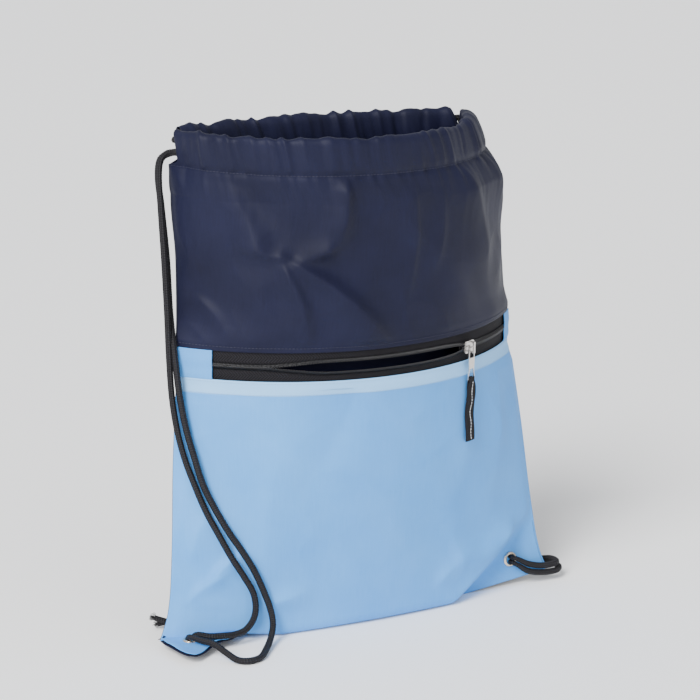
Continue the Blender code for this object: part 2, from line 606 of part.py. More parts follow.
def build_bag():
    clear_scene()
    skins = {
        "navy": material("navy_polyester", NAVY, 0.55),
        "sky": material("sky_polyester", SKY, 0.55),
        "black_cloth": material("black_ribbon", BLACK, 0.75),
        "cord": material("braided_cord", BLACK, 0.8),
        "teeth": material("nylon_coil", BLACK, 0.4),
        "steel": material("nickel_steel", STEEL, 0.25, 1.0),
    }
    upper_edge, lower_edge = ZIP_Z + HEM_EDGE, ZIP_Z - HEM_EDGE

    # walls
    floor = 0.028
    band_low, blend_low = ZIP_Z - ZIP_BAND + floor, ZIP_Z - ZIP_BLEND + floor
    folds = [0, 0.010, 0.018, 0.025, 0.031, 0.038, 0.050, 0.075, 0.105, 0.140, 0.180, 0.212, blend_low, band_low,
             lower_edge + floor]
    pocket_front = folded_wall("pocket_front_panel", "front", folds, lower_edge, skins["sky"])
    lining_top, lining_floor = ZIP_Z + 0.030, 0.020
    lining_folds = [0, 0.010, 0.017, 0.024, 0.034, 0.055, 0.090, 0.130, 0.170, 0.205, 0.229, 0.245]
    lining_folds += [ZIP_Z + lining_floor + off for off in (0.005, 0.011, 0.018, 0.023, 0.030)]
    lining = folded_wall("pocket_back_panel", "lining", lining_folds, lining_top, skins["navy"])
    back_folds = [0, 0.010, 0.020, 0.030, 0.040, 0.052, 0.060, 0.067, 0.075, 0.090, 0.125, 0.170, 0.220, 0.260,
                  0.290, 0.320, 0.360, 0.410, 0.445, CHANNEL_BOTTOM + 0.066]
    back = folded_wall("back_panel", "back", back_folds, CHANNEL_BOTTOM, skins["navy"])
    upper_heights = [upper_edge, 0.2627, 0.2787, 0.31, 0.35, 0.385, CHANNEL_BOTTOM]
    upright_wall("front_upper_panel", "front", upper_heights, skins["navy"])

    # the left corner lies forward, so the two layers of cloth there are one flat piece
    build = bmesh.new()
    low = [build.verts.new((x, y, EAR_BOTTOM)) for x, y in LEFT_EAR]
    high = [build.verts.new((x, y, EAR_TOP)) for x, y in LEFT_EAR]
    build.faces.new(low[::-1])
    build.faces.new(high)
    for i in range(len(LEFT_EAR)):
        j = (i + 1) % len(LEFT_EAR)
        build.faces.new((low[i], low[j], high[j], high[i]))
    bmesh.ops.recalc_face_normals(build, faces=build.faces)
    boolean(pocket_front, object_of("left_corner", build, skins["sky"]), "UNION")

    # channels round the mouth
    casing("front_channel", "front", FRONT_ENDS[0], FRONT_ENDS[1], skins["navy"])
    casing("back_channel", "back", BACK_ENDS[0], BACK_ENDS[1], skins["navy"])

    # zip
    tape_face = -LAYER - 0.0005
    teeth_back = tape_face + GAP
    for word, side in (("upper", 1), ("lower", -1)):
        def tape_edges(x, side=side):
            return side * (mouth_half(x) + TAPE_INSET), side * TAPE_OUT

        def teeth_edges(x, side=side):
            return side * mouth_half(x), side * (mouth_half(x) + TEETH_HIGH)

        zip_strip(f"zip_tape_{word}", TAPE_X, tape_edges, tape_face, tape_face - TAPE_THICK, skins["black_cloth"])
        zip_strip(f"zip_teeth_{word}", TEETH_X, teeth_edges, teeth_back + TEETH_DEEP, teeth_back, skins["teeth"])
    for word, x_range in TAB_X.items():
        zip_strip(f"zip_end_tab_{word}", x_range, lambda x: (-TAB_HALF, TAB_HALF), 0, teeth_back, skins["sky"])
    slider_parts(skins)

    # eyelets in the two bottom corners
    left_place = Matrix.Translation(LEFT_EYELET)
    right_place = Matrix.Translation(RIGHT_EYELET) @ Matrix.Rotation(math.pi / 2 - math.atan(SEAM_LEAN), 4, "X")
    eyelet("eyelet_left", left_place, 0.0011, skins["steel"])
    eyelet("eyelet_right", right_place, 0.0022, skins["steel"])
    boolean(pocket_front, hole_cutter("left_hole", left_place, skins["steel"]), "DIFFERENCE")
    right_cutter = hole_cutter("right_hole", right_place, skins["steel"])
    for wall in (pocket_front, lining, back):
        boolean(wall, right_cutter, "DIFFERENCE")

    # drawcords
    left_cord(skins["cord"])
    right_cord(skins["cord"])
    knot("cord_knot_left", (-0.1722, 0.0150, 0.0068),
         (((0, 0, 0), (-0.0150, 0.0070, 0.0052)), ((0, 0, 0), (-0.0095, 0.0120, -0.0030))), skins["cord"])
    knot("cord_knot_right", (0.1560, 0.0115, 0.0165),
         (((0, 0, 0), (0.0110, 0.0100, 0.0050)), ((0, 0, 0), (0.0120, 0.0060, -0.0080))), skins["cord"])


build_bag()
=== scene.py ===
import json
import math

import bmesh
import bpy
import numpy as np
from mathutils import Matrix, Vector

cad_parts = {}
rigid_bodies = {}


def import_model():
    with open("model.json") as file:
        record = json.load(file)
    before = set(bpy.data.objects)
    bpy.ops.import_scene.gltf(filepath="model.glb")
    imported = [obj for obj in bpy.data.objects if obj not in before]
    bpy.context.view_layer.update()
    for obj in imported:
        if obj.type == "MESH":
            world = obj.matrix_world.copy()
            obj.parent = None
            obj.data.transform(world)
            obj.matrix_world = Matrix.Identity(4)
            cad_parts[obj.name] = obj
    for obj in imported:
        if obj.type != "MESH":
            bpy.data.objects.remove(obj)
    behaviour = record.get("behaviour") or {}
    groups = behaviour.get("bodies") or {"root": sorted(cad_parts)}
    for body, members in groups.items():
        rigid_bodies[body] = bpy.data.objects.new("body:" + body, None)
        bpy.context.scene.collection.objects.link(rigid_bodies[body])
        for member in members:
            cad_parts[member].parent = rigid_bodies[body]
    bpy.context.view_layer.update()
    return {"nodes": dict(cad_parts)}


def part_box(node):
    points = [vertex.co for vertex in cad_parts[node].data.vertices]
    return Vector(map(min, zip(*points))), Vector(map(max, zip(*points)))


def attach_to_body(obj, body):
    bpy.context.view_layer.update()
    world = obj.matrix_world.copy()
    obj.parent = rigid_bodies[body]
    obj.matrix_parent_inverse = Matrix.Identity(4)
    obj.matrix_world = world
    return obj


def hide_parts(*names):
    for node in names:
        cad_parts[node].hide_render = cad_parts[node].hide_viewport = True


for thing in list(bpy.data.objects):
    bpy.data.objects.remove(thing, do_unlink=True)
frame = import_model()


# Nodes and colours

def linear(code):
    channels = [int(code[i:i + 2], 16) / 255 for i in (1, 3, 5)]
    return (*[c / 12.92 if c <= 0.04045 else ((c + 0.055) / 1.055) ** 2.4 for c in channels], 1)


def addNode(tree, kind, settings=None, values=None, links=None):
    node = tree.nodes.new(kind)
    for key, value in (settings or {}).items():
        setattr(node, key, value)
    for key, value in (values or {}).items():
        node.inputs[key].default_value = value
    for key, source in (links or {}).items():
        tree.links.new(source, node.inputs[key])
    return node


def startMaterial(name, values):
    made = bpy.data.materials.new(name)
    made.use_nodes = True
    tree = made.node_tree
    shader = tree.nodes["Principled BSDF"]
    for key, value in values.items():
        shader.inputs[key].default_value = value
    return made, tree, shader


def mathNode(tree, operation, a, b=None, c=None):
    node = addNode(tree, "ShaderNodeMath", {"operation": operation})
    for i, value in enumerate((a, b, c)):
        if value is None:
            continue
        if isinstance(value, (int, float)):
            node.inputs[i].default_value = value
        else:
            tree.links.new(value, node.inputs[i])
    return node.outputs[0]


def uvParts(tree):
    uv = addNode(tree, "ShaderNodeUVMap", {"uv_map": "cloth"})
    parts = addNode(tree, "ShaderNodeSeparateXYZ", links={"Vector": uv.outputs["UV"]})
    return uv.outputs["UV"], parts.outputs["X"], parts.outputs["Y"]


def ripple(tree, coordinate, spacing, phase=0.0):
    turn = mathNode(tree, "MULTIPLY_ADD", coordinate, 2 * math.pi / spacing, phase)
    return mathNode(tree, "SINE", turn)


def shadeRamp(tree, share, codes, places=(0, 1)):
    ramp = addNode(tree, "ShaderNodeValToRGB", links={"Fac": share})
    for stop, code, place in zip(ramp.color_ramp.elements, codes, places):
        stop.color = linear(code)
        stop.position = place
    return ramp.outputs["Color"]


def bumpNormal(tree, height, strength, distance, links=None):
    node = addNode(tree, "ShaderNodeBump", values={"Strength": strength, "Distance": distance},
                   links={"Height": height, **(links or {})})
    return node.outputs["Normal"]


def addObject(name, data):
    made = bpy.data.objects.new(name, data)
    bpy.context.scene.collection.objects.link(made)
    return made


def attach(piece, slot, *nodes, body="bag"):
    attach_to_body(piece, body)
    if nodes:
        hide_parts(*nodes)


# Fabrics and metals

def wovenPolyester(name, look):
    # 210-denier plain weave: satin sheen, faint warp and weft, and soft crease marks that catch the light
    # each ripple is a pair of yarns
    made, tree, shader = startMaterial(name, {
        "Roughness": look["roughness"], "Sheen Weight": look["sheen"], "Sheen Roughness": 0.5, "IOR": 1.5,
        "Specular IOR Level": look["gloss"]})
    uv, along, up = uvParts(tree)
    warp = ripple(tree, along, look["thread"])
    weft = ripple(tree, up, look["thread"])
    weave = mathNode(tree, "MULTIPLY", warp, weft)
    drawn = addNode(tree, "ShaderNodeMapping", values={"Scale": (900, 45, 1)}, links={"Vector": uv})
    slubs = addNode(tree, "ShaderNodeTexNoise", values={"Scale": 1.0, "Detail": 3.0},
                    links={"Vector": drawn.outputs["Vector"]}).outputs["Fac"]
    cloud = addNode(tree, "ShaderNodeTexNoise", values={"Scale": 14.0, "Detail": 4.0, "Roughness": 0.55},
                    links={"Vector": uv}).outputs["Fac"]
    # the weave term paints the thread crowns a little lighter than the hollows between them, a painted shade
    # at thread scale; the slubs and cloud are the cloth's own uneven tone
    share = mathNode(tree, "MULTIPLY_ADD", slubs, 0.25, mathNode(tree, "MULTIPLY_ADD", weave, 0.14, 0.10))
    share = mathNode(tree, "MULTIPLY_ADD", cloud, 0.6, share)
    single = shadeRamp(tree, share, (look["dark"], look["light"]), (0.25, 0.85))
    double = addNode(tree, "ShaderNodeAttribute", {"attribute_name": "doubled"}).outputs["Fac"]  # the hems
    mixed = addNode(tree, "ShaderNodeMix", {"data_type": "RGBA"}, links={"Factor": double, "A": single})
    mixed.inputs["B"].default_value = linear(look["pale"])
    tree.links.new(mixed.outputs["Result"], shader.inputs["Base Color"])
    crease = addNode(tree, "ShaderNodeTexNoise", {"noise_type": "RIDGED_MULTIFRACTAL"},
                     {"Scale": 18.0, "Detail": 3.0, "Distortion": 0.6}, {"Vector": uv}).outputs["Fac"]
    fine = bumpNormal(tree, weave, 0.25, 0.0001)
    tree.links.new(bumpNormal(tree, crease, 0.4, look["crease"], {"Normal": fine}), shader.inputs["Normal"])
    return made


def wovenTape(name, look):
    # herringbone webbing: matt, the twill turns at every few millimetres across the tape
    made, tree, shader = startMaterial(name, {"Roughness": 0.8, "Sheen Weight": 0.02, "IOR": 1.5,
                                              "Specular IOR Level": 0.2})
    along, up = uvParts(tree)[1:]
    fold = mathNode(tree, "PINGPONG", up, look["chevron"])
    twill = ripple(tree, mathNode(tree, "ADD", along, fold), look["twill"])
    # painted highlight and painted shade: the twill ribs are painted lighter on their crests and darker in
    # their grooves, following the bump's ripple
    share = mathNode(tree, "MULTIPLY_ADD", twill, 0.4, 0.5)
    tree.links.new(shadeRamp(tree, share, (look["dark"], look["light"])), shader.inputs["Base Color"])
    tree.links.new(bumpNormal(tree, twill, 0.7, 0.0003), shader.inputs["Normal"])
    return made


def braidedCord(name):
    # braided polyester: two sets of strands wound opposite ways, with a dull sheen on each strand, partly
    # from the shader and partly painted into the colour
    made, tree, shader = startMaterial(name, {"Roughness": 0.62, "Sheen Weight": 0.02, "IOR": 1.5,
                                              "Specular IOR Level": 0.25})
    along, around = uvParts(tree)[1:]
    left = ripple(tree, mathNode(tree, "ADD", along, around), braid["pitch"])
    right = ripple(tree, mathNode(tree, "SUBTRACT", along, around), braid["pitch"])
    height = mathNode(tree, "MULTIPLY", left, right)
    # painted highlight and painted shade: the braid's height makes the strand crowns lighter and the grooves
    # between strands darker
    share = mathNode(tree, "MULTIPLY_ADD", height, 0.45, 0.5)
    tree.links.new(shadeRamp(tree, share, ("#030304", "#1f1d22")), shader.inputs["Base Color"])
    tree.links.new(bumpNormal(tree, height, 0.8, 0.0004), shader.inputs["Normal"])
    return made


def platedMetal(name, code, roughness):
    # polished plating: tight highlights broken by fine handling scratches
    made, tree, shader = startMaterial(name, {"Base Color": linear(code), "Metallic": 1.0})
    place = addNode(tree, "ShaderNodeTexCoord").outputs["Object"]
    worn = addNode(tree, "ShaderNodeTexNoise", values={"Scale": 700.0, "Detail": 4.0},
                   links={"Vector": place}).outputs["Fac"]
    tree.links.new(mathNode(tree, "MULTIPLY_ADD", worn, 0.2, roughness - 0.08), shader.inputs["Roughness"])
    tree.links.new(bumpNormal(tree, worn, 0.15, 0.0001), shader.inputs["Normal"])
    return made


def plainFibre(name, code, roughness):
    # nylon coil and sewing thread: a smooth filament whose shade varies a little along it
    made, tree, shader = startMaterial(name, {"Roughness": roughness, "IOR": 1.53})
    place = addNode(tree, "ShaderNodeTexCoord").outputs["Object"]
    shade = addNode(tree, "ShaderNodeTexNoise", values={"Scale": 260.0, "Detail": 2.0},
                    links={"Vector": place}).outputs["Fac"]
    mixed = addNode(tree, "ShaderNodeMix", {"data_type": "RGBA"}, links={"Factor": shade})
    base = linear(code)
    mixed.inputs["A"].default_value = (*[c * 0.75 for c in base[:3]], 1)
    mixed.inputs["B"].default_value = (*[min(c * 1.3, 1) for c in base[:3]], 1)
    tree.links.new(mixed.outputs["Result"], shader.inputs["Base Color"])
    return made


braid = {"radius": 0.00275, "pitch": 0.0042, "relief": 0.12, "sides": 16, "step": 0.0008}
navyCloth = wovenPolyester("navyPolyester", {
    "dark": "#0b0c1d", "light": "#1c1e38", "pale": "#24284a", "roughness": 0.5, "gloss": 0.14, "sheen": 0.012,
    "thread": 0.0008, "crease": 0.0022})
skyCloth = wovenPolyester("skyPolyester", {
    "dark": "#4490da", "light": "#63a9ec", "pale": "#a2d4fa", "roughness": 0.58, "gloss": 0.2, "sheen": 0.04,
    "thread": 0.0008, "crease": 0.0011})
blackTape = wovenTape("blackHerringboneTape", {"dark": "#060507", "light": "#201e23", "chevron": 0.0040,
                                               "twill": 0.0026})
cordSkin = braidedCord("blackBraidedPolyester")
nickel = platedMetal("nickelPlatedZinc", "#d2cecb", 0.24)
eyeletSkin = platedMetal("paleBrassPlate", "#e0cdb4", 0.26)
coilSkin = plainFibre("blackNylonCoil", "#100f12", 0.32)
navyThread = plainFibre("navySewingThread", "#1e2038", 0.6)
skyThread = plainFibre("skySewingThread", "#8db9dd", 0.6)
whiteThread = plainFibre("whiteSewingThread", "#d9dbdf", 0.6)
blackThread = plainFibre("blackSewingThread", "#0c0b0d", 0.7)


# The bag's form, from the same stations as its frame

bag = {
    "height": 0.440, "channelBottom": 0.409, "seamY": -0.014, "seamLean": 0.146, "cloth": 0.0006,
    "halfWidth": ((0, 0.199), (0.03, 0.187), (0.08, 0.180), (0.15, 0.174), (0.24, 0.1645), (0.33, 0.1585),
                  (0.385, 0.159), (0.409, 0.1515), (0.44, 0.145)),
    "frontY": ((0, -0.043), (0.05, -0.046), (0.12, -0.0505), (0.24, -0.0585), (0.34, -0.0645),
               (0.44, -0.0705)),
    "backBulge": ((0, 0.068), (0.15, 0.051), (0.30, 0.034), (0.44, 0.0184)),
    "centreX": ((0, 0), (0.385, 0), (0.409, -0.0075), (0.44, -0.016)),
    "lift": ((-0.20, 0.0075), (-0.14, 0.0075), (-0.09, 0), (0.105, 0), (0.175, 0.0075), (0.20, 0.010)),
    "crease": ((0.100, 0.0), (0.172, 0.052)), "channelDeep": 0.0092, "pocketDeep": 0.0220,
}
zipper = {"z": 0.2437, "band": 0.019, "blend": 0.035, "hem": 0.0125, "tapeOut": 0.0165, "sliderX": 0.086,
          "mouthX": -0.112, "openHalf": 0.0044, "teethX": (-0.143, 0.151), "tapeX": (-0.150, 0.156),
          "pitch": 0.0022, "face": -0.0018}


def smoothTable(stations, at):
    places, values = np.array(stations, float).T
    last = len(places) - 1
    at = np.clip(at, places[0], places[-1])
    i = np.clip(np.searchsorted(places, at, side="right") - 1, 0, last - 1)
    k = np.arange(last + 1)
    high, low = np.minimum(k + 1, last), np.maximum(k - 1, 0)
    slopes = (values[high] - values[low]) / (places[high] - places[low])
    step = places[i + 1] - places[i]
    t = (at - places[i]) / step
    return (values[i] * (1 + 2 * t) * (1 - t) ** 2 + values[i + 1] * t * t * (3 - 2 * t)
            + step * (slopes[i] * t * (1 - t) ** 2 - slopes[i + 1] * t * t * (1 - t)))


def straightTable(stations, at):
    places, values = np.array(stations, float).T
    return np.interp(at, places, values)


def smoothStep(low, high, at):
    t = np.clip((at - low) / (high - low), 0, 1)
    return t * t * (3 - 2 * t)


def uprightBand(z):
    off = np.abs(z - zipper["z"])
    eased = zipper["blend"] * (off - zipper["band"]) / (zipper["blend"] - zipper["band"])
    level = np.where(off <= zipper["band"], 0, np.where(off >= zipper["blend"], off, eased))
    return zipper["z"] + np.sign(z - zipper["z"]) * level


class Arc:
    # the plan curve of a wall at each height
    def __init__(self, wall, z):
        level = uprightBand(np.asarray(z, float))
        width = smoothTable(bag["halfWidth"], level)
        seam = bag["seamY"] + bag["seamLean"] * level
        self.facing = 1 if wall == "back" else -1
        self.chordY = seam + {"front": -0.0018, "lining": -0.0005, "back": 0.0018}[wall]
        if wall == "back":
            sag = smoothTable(bag["backBulge"], level)
        else:
            sag = seam - smoothTable(bag["frontY"], level) - 0.0018
        if wall == "lining":
            full = smoothStep(zipper["z"] + 0.027, zipper["z"] + 0.010, z)
            full = full * (0.35 + 0.65 * smoothStep(0, 0.06, z))
            width = width - 2 * 0.0013 * width * sag / (width * width + sag * sag) - 0.0012
            sag = sag - bag["pocketDeep"] * full - 0.0004
        self.middleX = straightTable(bag["centreX"], level)
        self.radius = (width * width + sag * sag) / (2 * sag)
        self.centreY = self.chordY + self.facing * (sag - self.radius)
        self.reach = np.arcsin(width / self.radius)

    def at(self, across, inset=0.0):
        angle = across * self.reach
        size = self.radius - inset
        return self.middleX + size * np.sin(angle), self.centreY + self.facing * size * np.cos(angle)

    def acrossOf(self, x):
        return np.arcsin((x - self.middleX) / self.radius) / self.reach


def fullness(wall, x, z):
    (x0, z0), (x1, z1) = bag["crease"]
    run = math.hypot(x1 - x0, z1 - z0)
    beyond = ((x - x0) * (z1 - z0) - (z - z0) * (x1 - x0)) / run
    early = 0.007 if wall == "lining" else 0
    return 1 - smoothStep(-0.016 - early, 0.002 - early, beyond)


def wallPoints(wall, across, z, inset=0.0):
    arc = Arc(wall, z)
    x, y = arc.at(across, inset)
    full = arc.chordY + (y - arc.chordY) * fullness(wall, x, z)
    closing = 0 if wall == "lining" else smoothStep(0.93, 1.0, np.abs(across)) * 0.0014  # at the side seam
    return np.stack([x, full - arc.facing * closing, np.broadcast_to(z, x.shape)], -1)


def foldedPoints(wall, across, along, top, length):
    low = Arc(wall, np.zeros_like(across))
    x, y = low.at(across)
    lift = straightTable(bag["lift"], x)
    if wall == "lining":
        lift = lift + np.where(x > -0.11, 0.0013, 0.0018)
    floor = np.abs(y - low.chordY) * fullness(wall, x, lift)
    turn = np.maximum(np.minimum(0.012, 0.45 * floor), 0.0001)
    past = along - floor
    rise = np.where(past < turn, (np.maximum(past, -turn) + turn) ** 2 / (4 * turn), past)
    z = lift + rise * (top - lift) / (length - floor)
    up = wallPoints(wall, across, z)
    share = np.clip((along - rise) / np.maximum(floor, 1e-6), 0, 1)
    curving = (past < turn) & (floor >= turn)
    bent = np.stack([up[..., 0], low.chordY + (up[..., 1] - low.chordY) * share, z], -1)
    flat = np.stack([x, low.chordY + low.facing * along, lift], -1)
    found = np.where(curving[..., None], bent, up)
    return np.where((past <= -turn)[..., None], flat, found)


# Wrinkles

def latticeNoise(u, v, seed):
    table = np.random.default_rng(seed).uniform(-1, 1, (64, 64))
    iu, iv = np.floor(u).astype(int), np.floor(v).astype(int)
    fu, fv = u - iu, v - iv
    fu, fv = fu * fu * (3 - 2 * fu), fv * fv * (3 - 2 * fv)
    a, b = table[iu % 64, iv % 64], table[(iu + 1) % 64, iv % 64]
    c, d = table[iu % 64, (iv + 1) % 64], table[(iu + 1) % 64, (iv + 1) % 64]
    return (a * (1 - fu) + b * fu) * (1 - fv) + (c * (1 - fu) + d * fu) * fv


def gathers(u, v, size, seed):
    # upright ripples: narrow rounded ridges with wider hollows, drifting sideways a little
    drift = latticeNoise(u / 0.05, v / 0.03, seed + 7) * 0.004
    wide = latticeNoise((u + drift) / (size * 1.9), v / 0.11 + 5, seed)
    narrow = latticeNoise((u + drift) / (size * 0.8), v / 0.06 + 9, seed + 1)
    return 1 - np.abs(wide) * 1.9 + 0.55 * narrow


def foldLines(x, z, folds):
    # each fold: start x and z, end x and z, height, width on its steep side, width on its easy side
    total = np.zeros_like(x)
    for x0, z0, x1, z1, height, steep, easy in folds:
        run = math.hypot(x1 - x0, z1 - z0)
        ux, uz = (x1 - x0) / run, (z1 - z0) / run
        along = ((x - x0) * ux + (z - z0) * uz) / run
        bow = 0.06 * run * np.sin(np.clip(along, 0, 1) * math.pi)
        side = (x - x0) * -uz + (z - z0) * ux - bow
        width = np.where(side > 0, steep, easy) * (0.75 + 0.7 * np.clip(along, 0, 1))
        ends = smoothStep(-0.15, 0.22, along) * smoothStep(1.25, 0.6, along)
        total = total + height * np.exp(-np.abs(side / width) ** 1.6) * ends
    return total


def outwards(grid):
    du = np.gradient(grid, axis=1)
    dv = np.gradient(grid, axis=0)
    normal = np.cross(du, dv)
    size = np.linalg.norm(normal, axis=-1, keepdims=True)
    return normal / np.maximum(size, 1e-12)


def arcLengths(grid):
    steps = np.linalg.norm(np.diff(grid, axis=1), axis=-1)
    u = np.concatenate([np.zeros((len(grid), 1)), np.cumsum(steps, axis=1)], axis=1)
    u = u - u[:, u.shape[1] // 2:u.shape[1] // 2 + 1]
    rises = np.linalg.norm(np.diff(grid, axis=0), axis=-1)
    v = np.concatenate([np.zeros((1, grid.shape[1])), np.cumsum(rises, axis=0)], axis=0)
    return u, v


def meshObject(name, points, faces, skin, uv=None):
    mesh = bpy.data.meshes.new(name)
    mesh.from_pydata([tuple(p) for p in points], [], faces)
    if uv is not None:
        layer = mesh.uv_layers.new(name="cloth")
        corners = np.zeros(len(mesh.loops), np.int32)
        mesh.loops.foreach_get("vertex_index", corners)
        layer.data.foreach_set("uv", np.asarray(uv, np.float32)[corners].ravel())
    mesh.materials.append(skin)
    mesh.shade_smooth()
    return addObject(name, mesh)


def gridObject(name, grid, skin, thickness=None, flip=False, uv=None, doubled=None):
    rows, columns = grid.shape[:2]
    index = np.arange(rows * columns).reshape(rows, columns)
    a, b, c, d = index[:-1, :-1], index[:-1, 1:], index[1:, 1:], index[1:, :-1]
    quads = np.stack([a, b, c, d] if not flip else [d, c, b, a], -1).reshape(-1, 4).tolist()
    if uv is None:
        uv = np.stack(arcLengths(grid), -1)
    made = meshObject(name, grid.reshape(-1, 3), quads, skin, uv.reshape(-1, 2))
    if doubled is not None:
        values = made.data.attributes.new("doubled", "FLOAT", "POINT").data
        values.foreach_set("value", doubled.astype(np.float32).ravel())
    if thickness:
        thicken = made.modifiers.new("clothThickness", "SOLIDIFY")
        thicken.thickness = thickness
        thicken.offset = -1
    return made


print("form ready")


# Walls of the bag

rim = {"endShare": {"front": 0.945, "back": 0.915}, "ripple": 0.0018, "spacing": 0.0068, "reach": 0.026}
walls = {"columns": 300, "hemBack": 0.0011}


def rimProfile():
    # inset and height, from the stitch line over the channel's top and down inside
    deep, top, low = bag["channelDeep"], bag["height"], bag["channelBottom"]
    outer = [(0.0, low + 0.0005 + (top - 0.006 - low) * i / 12) for i in range(1, 13)]
    over = [(deep / 2 - deep / 2 * math.cos(a), top - 0.0055 + 0.0055 * math.sin(a))
            for a in [math.pi * i / 10 for i in range(1, 10)]]
    inner = [(deep, top - 0.006 - (top - 0.006 - low) * i / 9) for i in range(0, 10)]
    return outer + over + inner


def rimGrid(wall, across):
    rows = []
    for inset, z in rimProfile():
        drawnIn = smoothStep(bag["channelBottom"], bag["channelBottom"] + 0.004, z)
        share = 1 - (1 - rim["endShare"][wall]) * drawnIn
        rows.append(wallPoints(wall, across * share, np.full_like(across, z), inset))
    return np.array(rows)


def rimRelief(grid, seed):
    # the cloth bunches on the cords: strongest at the stitch line and at the top edge
    u = arcLengths(grid)[0]
    z = grid[..., 2]
    calm = smoothStep(1.0, 0.965, np.abs(np.linspace(-1, 1, grid.shape[1])))[None, :]
    low = bag["channelBottom"]
    inChannel = smoothStep(low - 0.001, low + 0.006, z)
    below = np.exp(-np.maximum(low - z, 0) / rim["reach"])
    ridge = gathers(u, z, rim["spacing"], seed)
    puffed = 0.0011 * np.sin(np.pi * np.clip((z - low) / (bag["height"] - low), 0, 1))
    pinch = -0.0013 * np.exp(-((z - low) / 0.0028) ** 2)
    pucker = 0.0010 * latticeNoise(u / 0.0046, z / 0.02, seed + 3) * np.exp(-np.abs(z - low) / 0.011)
    ripples = rim["ripple"] * ridge * (inChannel + 0.62 * below * (1 - inChannel))
    return (ripples + puffed + pinch + pucker) * calm


navyFolds = (
    (-0.088, 0.338, -0.004, 0.262, 0.0048, 0.006, 0.020),
    (-0.092, 0.336, -0.072, 0.262, 0.0034, 0.005, 0.012),
    (-0.088, 0.340, -0.122, 0.352, 0.0022, 0.006, 0.012),
    (-0.046, 0.408, -0.052, 0.345, 0.0036, 0.006, 0.012),
    (-0.052, 0.350, -0.086, 0.336, 0.0024, 0.006, 0.010),
    (-0.128, 0.398, -0.104, 0.300, 0.0022, 0.008, 0.016),
    (0.016, 0.392, 0.012, 0.296, 0.0009, 0.004, 0.010),
    (0.046, 0.386, 0.040, 0.318, 0.0007, 0.004, 0.009),
    (0.076, 0.400, 0.108, 0.300, 0.0026, 0.010, 0.026),
    (0.128, 0.404, 0.134, 0.290, 0.0020, 0.007, 0.016),
    (-0.148, 0.300, -0.128, 0.262, 0.0014, 0.005, 0.010),
)
skyFolds = (
    (-0.150, 0.058, -0.120, 0.082, 0.0024, 0.004, 0.009),
    (-0.172, 0.036, -0.138, 0.062, 0.0020, 0.004, 0.008),
    (-0.166, 0.074, -0.146, 0.120, 0.0014, 0.006, 0.012),
    (-0.120, 0.020, -0.070, 0.040, 0.0026, 0.006, 0.014),
    (-0.104, 0.060, -0.084, 0.190, 0.0026, 0.016, 0.030),
    (-0.030, 0.222, -0.090, 0.120, -0.0018, 0.018, 0.030),
    (0.086, 0.222, 0.076, 0.110, 0.0016, 0.014, 0.030),
    (0.130, 0.205, 0.118, 0.090, 0.0016, 0.012, 0.024),
    (0.150, 0.062, 0.098, 0.030, 0.0030, 0.007, 0.014),
    (0.060, 0.024, 0.100, 0.050, 0.0016, 0.008, 0.016),
)
backFolds = (
    (-0.100, 0.340, -0.030, 0.220, 0.0034, 0.010, 0.022),
    (0.110, 0.350, 0.050, 0.200, 0.0034, 0.010, 0.024),
    (-0.020, 0.400, -0.004, 0.290, 0.0028, 0.008, 0.018),
    (-0.150, 0.070, -0.080, 0.150, 0.0030, 0.008, 0.020),
    (0.150, 0.070, 0.070, 0.130, 0.0032, 0.008, 0.022),
    (0.030, 0.060, -0.050, 0.180, 0.0026, 0.012, 0.028),
    (-0.060, 0.300, -0.120, 0.240, 0.0022, 0.008, 0.016),
)


def crumple(u, z, size, seed):
    broad = latticeNoise(u / 0.060 + 3, z / 0.075, seed)
    middle = latticeNoise(u / 0.024 + z / 0.05, z / 0.034 + u / 0.07, seed + 1)
    ridged = 1 - np.abs(latticeNoise(u / 0.036 + z / 0.045, z / 0.050 - u / 0.09, seed + 2)) * 2
    return size * (1.1 * broad + 0.35 * middle + 0.5 * ridged)


def seamCalm(grid, bottom=None, top=None):
    across = np.abs(np.linspace(-1, 1, grid.shape[1]))[None, :]
    calm = smoothStep(1.0, 0.93, across) * np.ones(grid.shape[:2])
    z = grid[..., 2]
    if bottom is not None:
        calm = calm * smoothStep(bottom, bottom + 0.012, z)
    if top is not None:
        calm = calm * smoothStep(top, top - 0.014, z)
    return calm


def frontUpper():
    across = np.linspace(-1, 1, walls["columns"])
    edge = zipper["z"] + zipper["hem"]
    hem = [(walls["hemBack"], edge + 0.008), (walls["hemBack"], edge + 0.001), (0.0005, edge),
           (0, edge + 0.0005)]
    rows = [wallPoints("front", across, np.full_like(across, z), inset) for inset, z in hem]
    count = 120
    for i in range(1, count + 1):
        z = edge + 0.0005 + (bag["channelBottom"] - edge - 0.0005) * i / count
        rows.append(wallPoints("front", across, np.full_like(across, z)))
    grid = np.concatenate([np.array(rows), rimGrid("front", across)])
    u = arcLengths(grid)[0]
    z = grid[..., 2]
    body = smoothStep(bag["channelBottom"] + 0.002, bag["channelBottom"] - 0.012, z)
    relief = 2.1 * foldLines(grid[..., 0], z, navyFolds) + crumple(u, z, 0.0016, 11)
    relief = relief * seamCalm(grid, edge) * body + rimRelief(grid, 21)
    hemRows = len(hem)
    relief[:hemRows] = relief[hemRows]
    normal = outwards(grid)
    normal[:hemRows] = normal[hemRows]
    made = grid + normal * relief[..., None]
    return gridObject("frontUpperPanel", made, navyCloth, bag["cloth"]), made


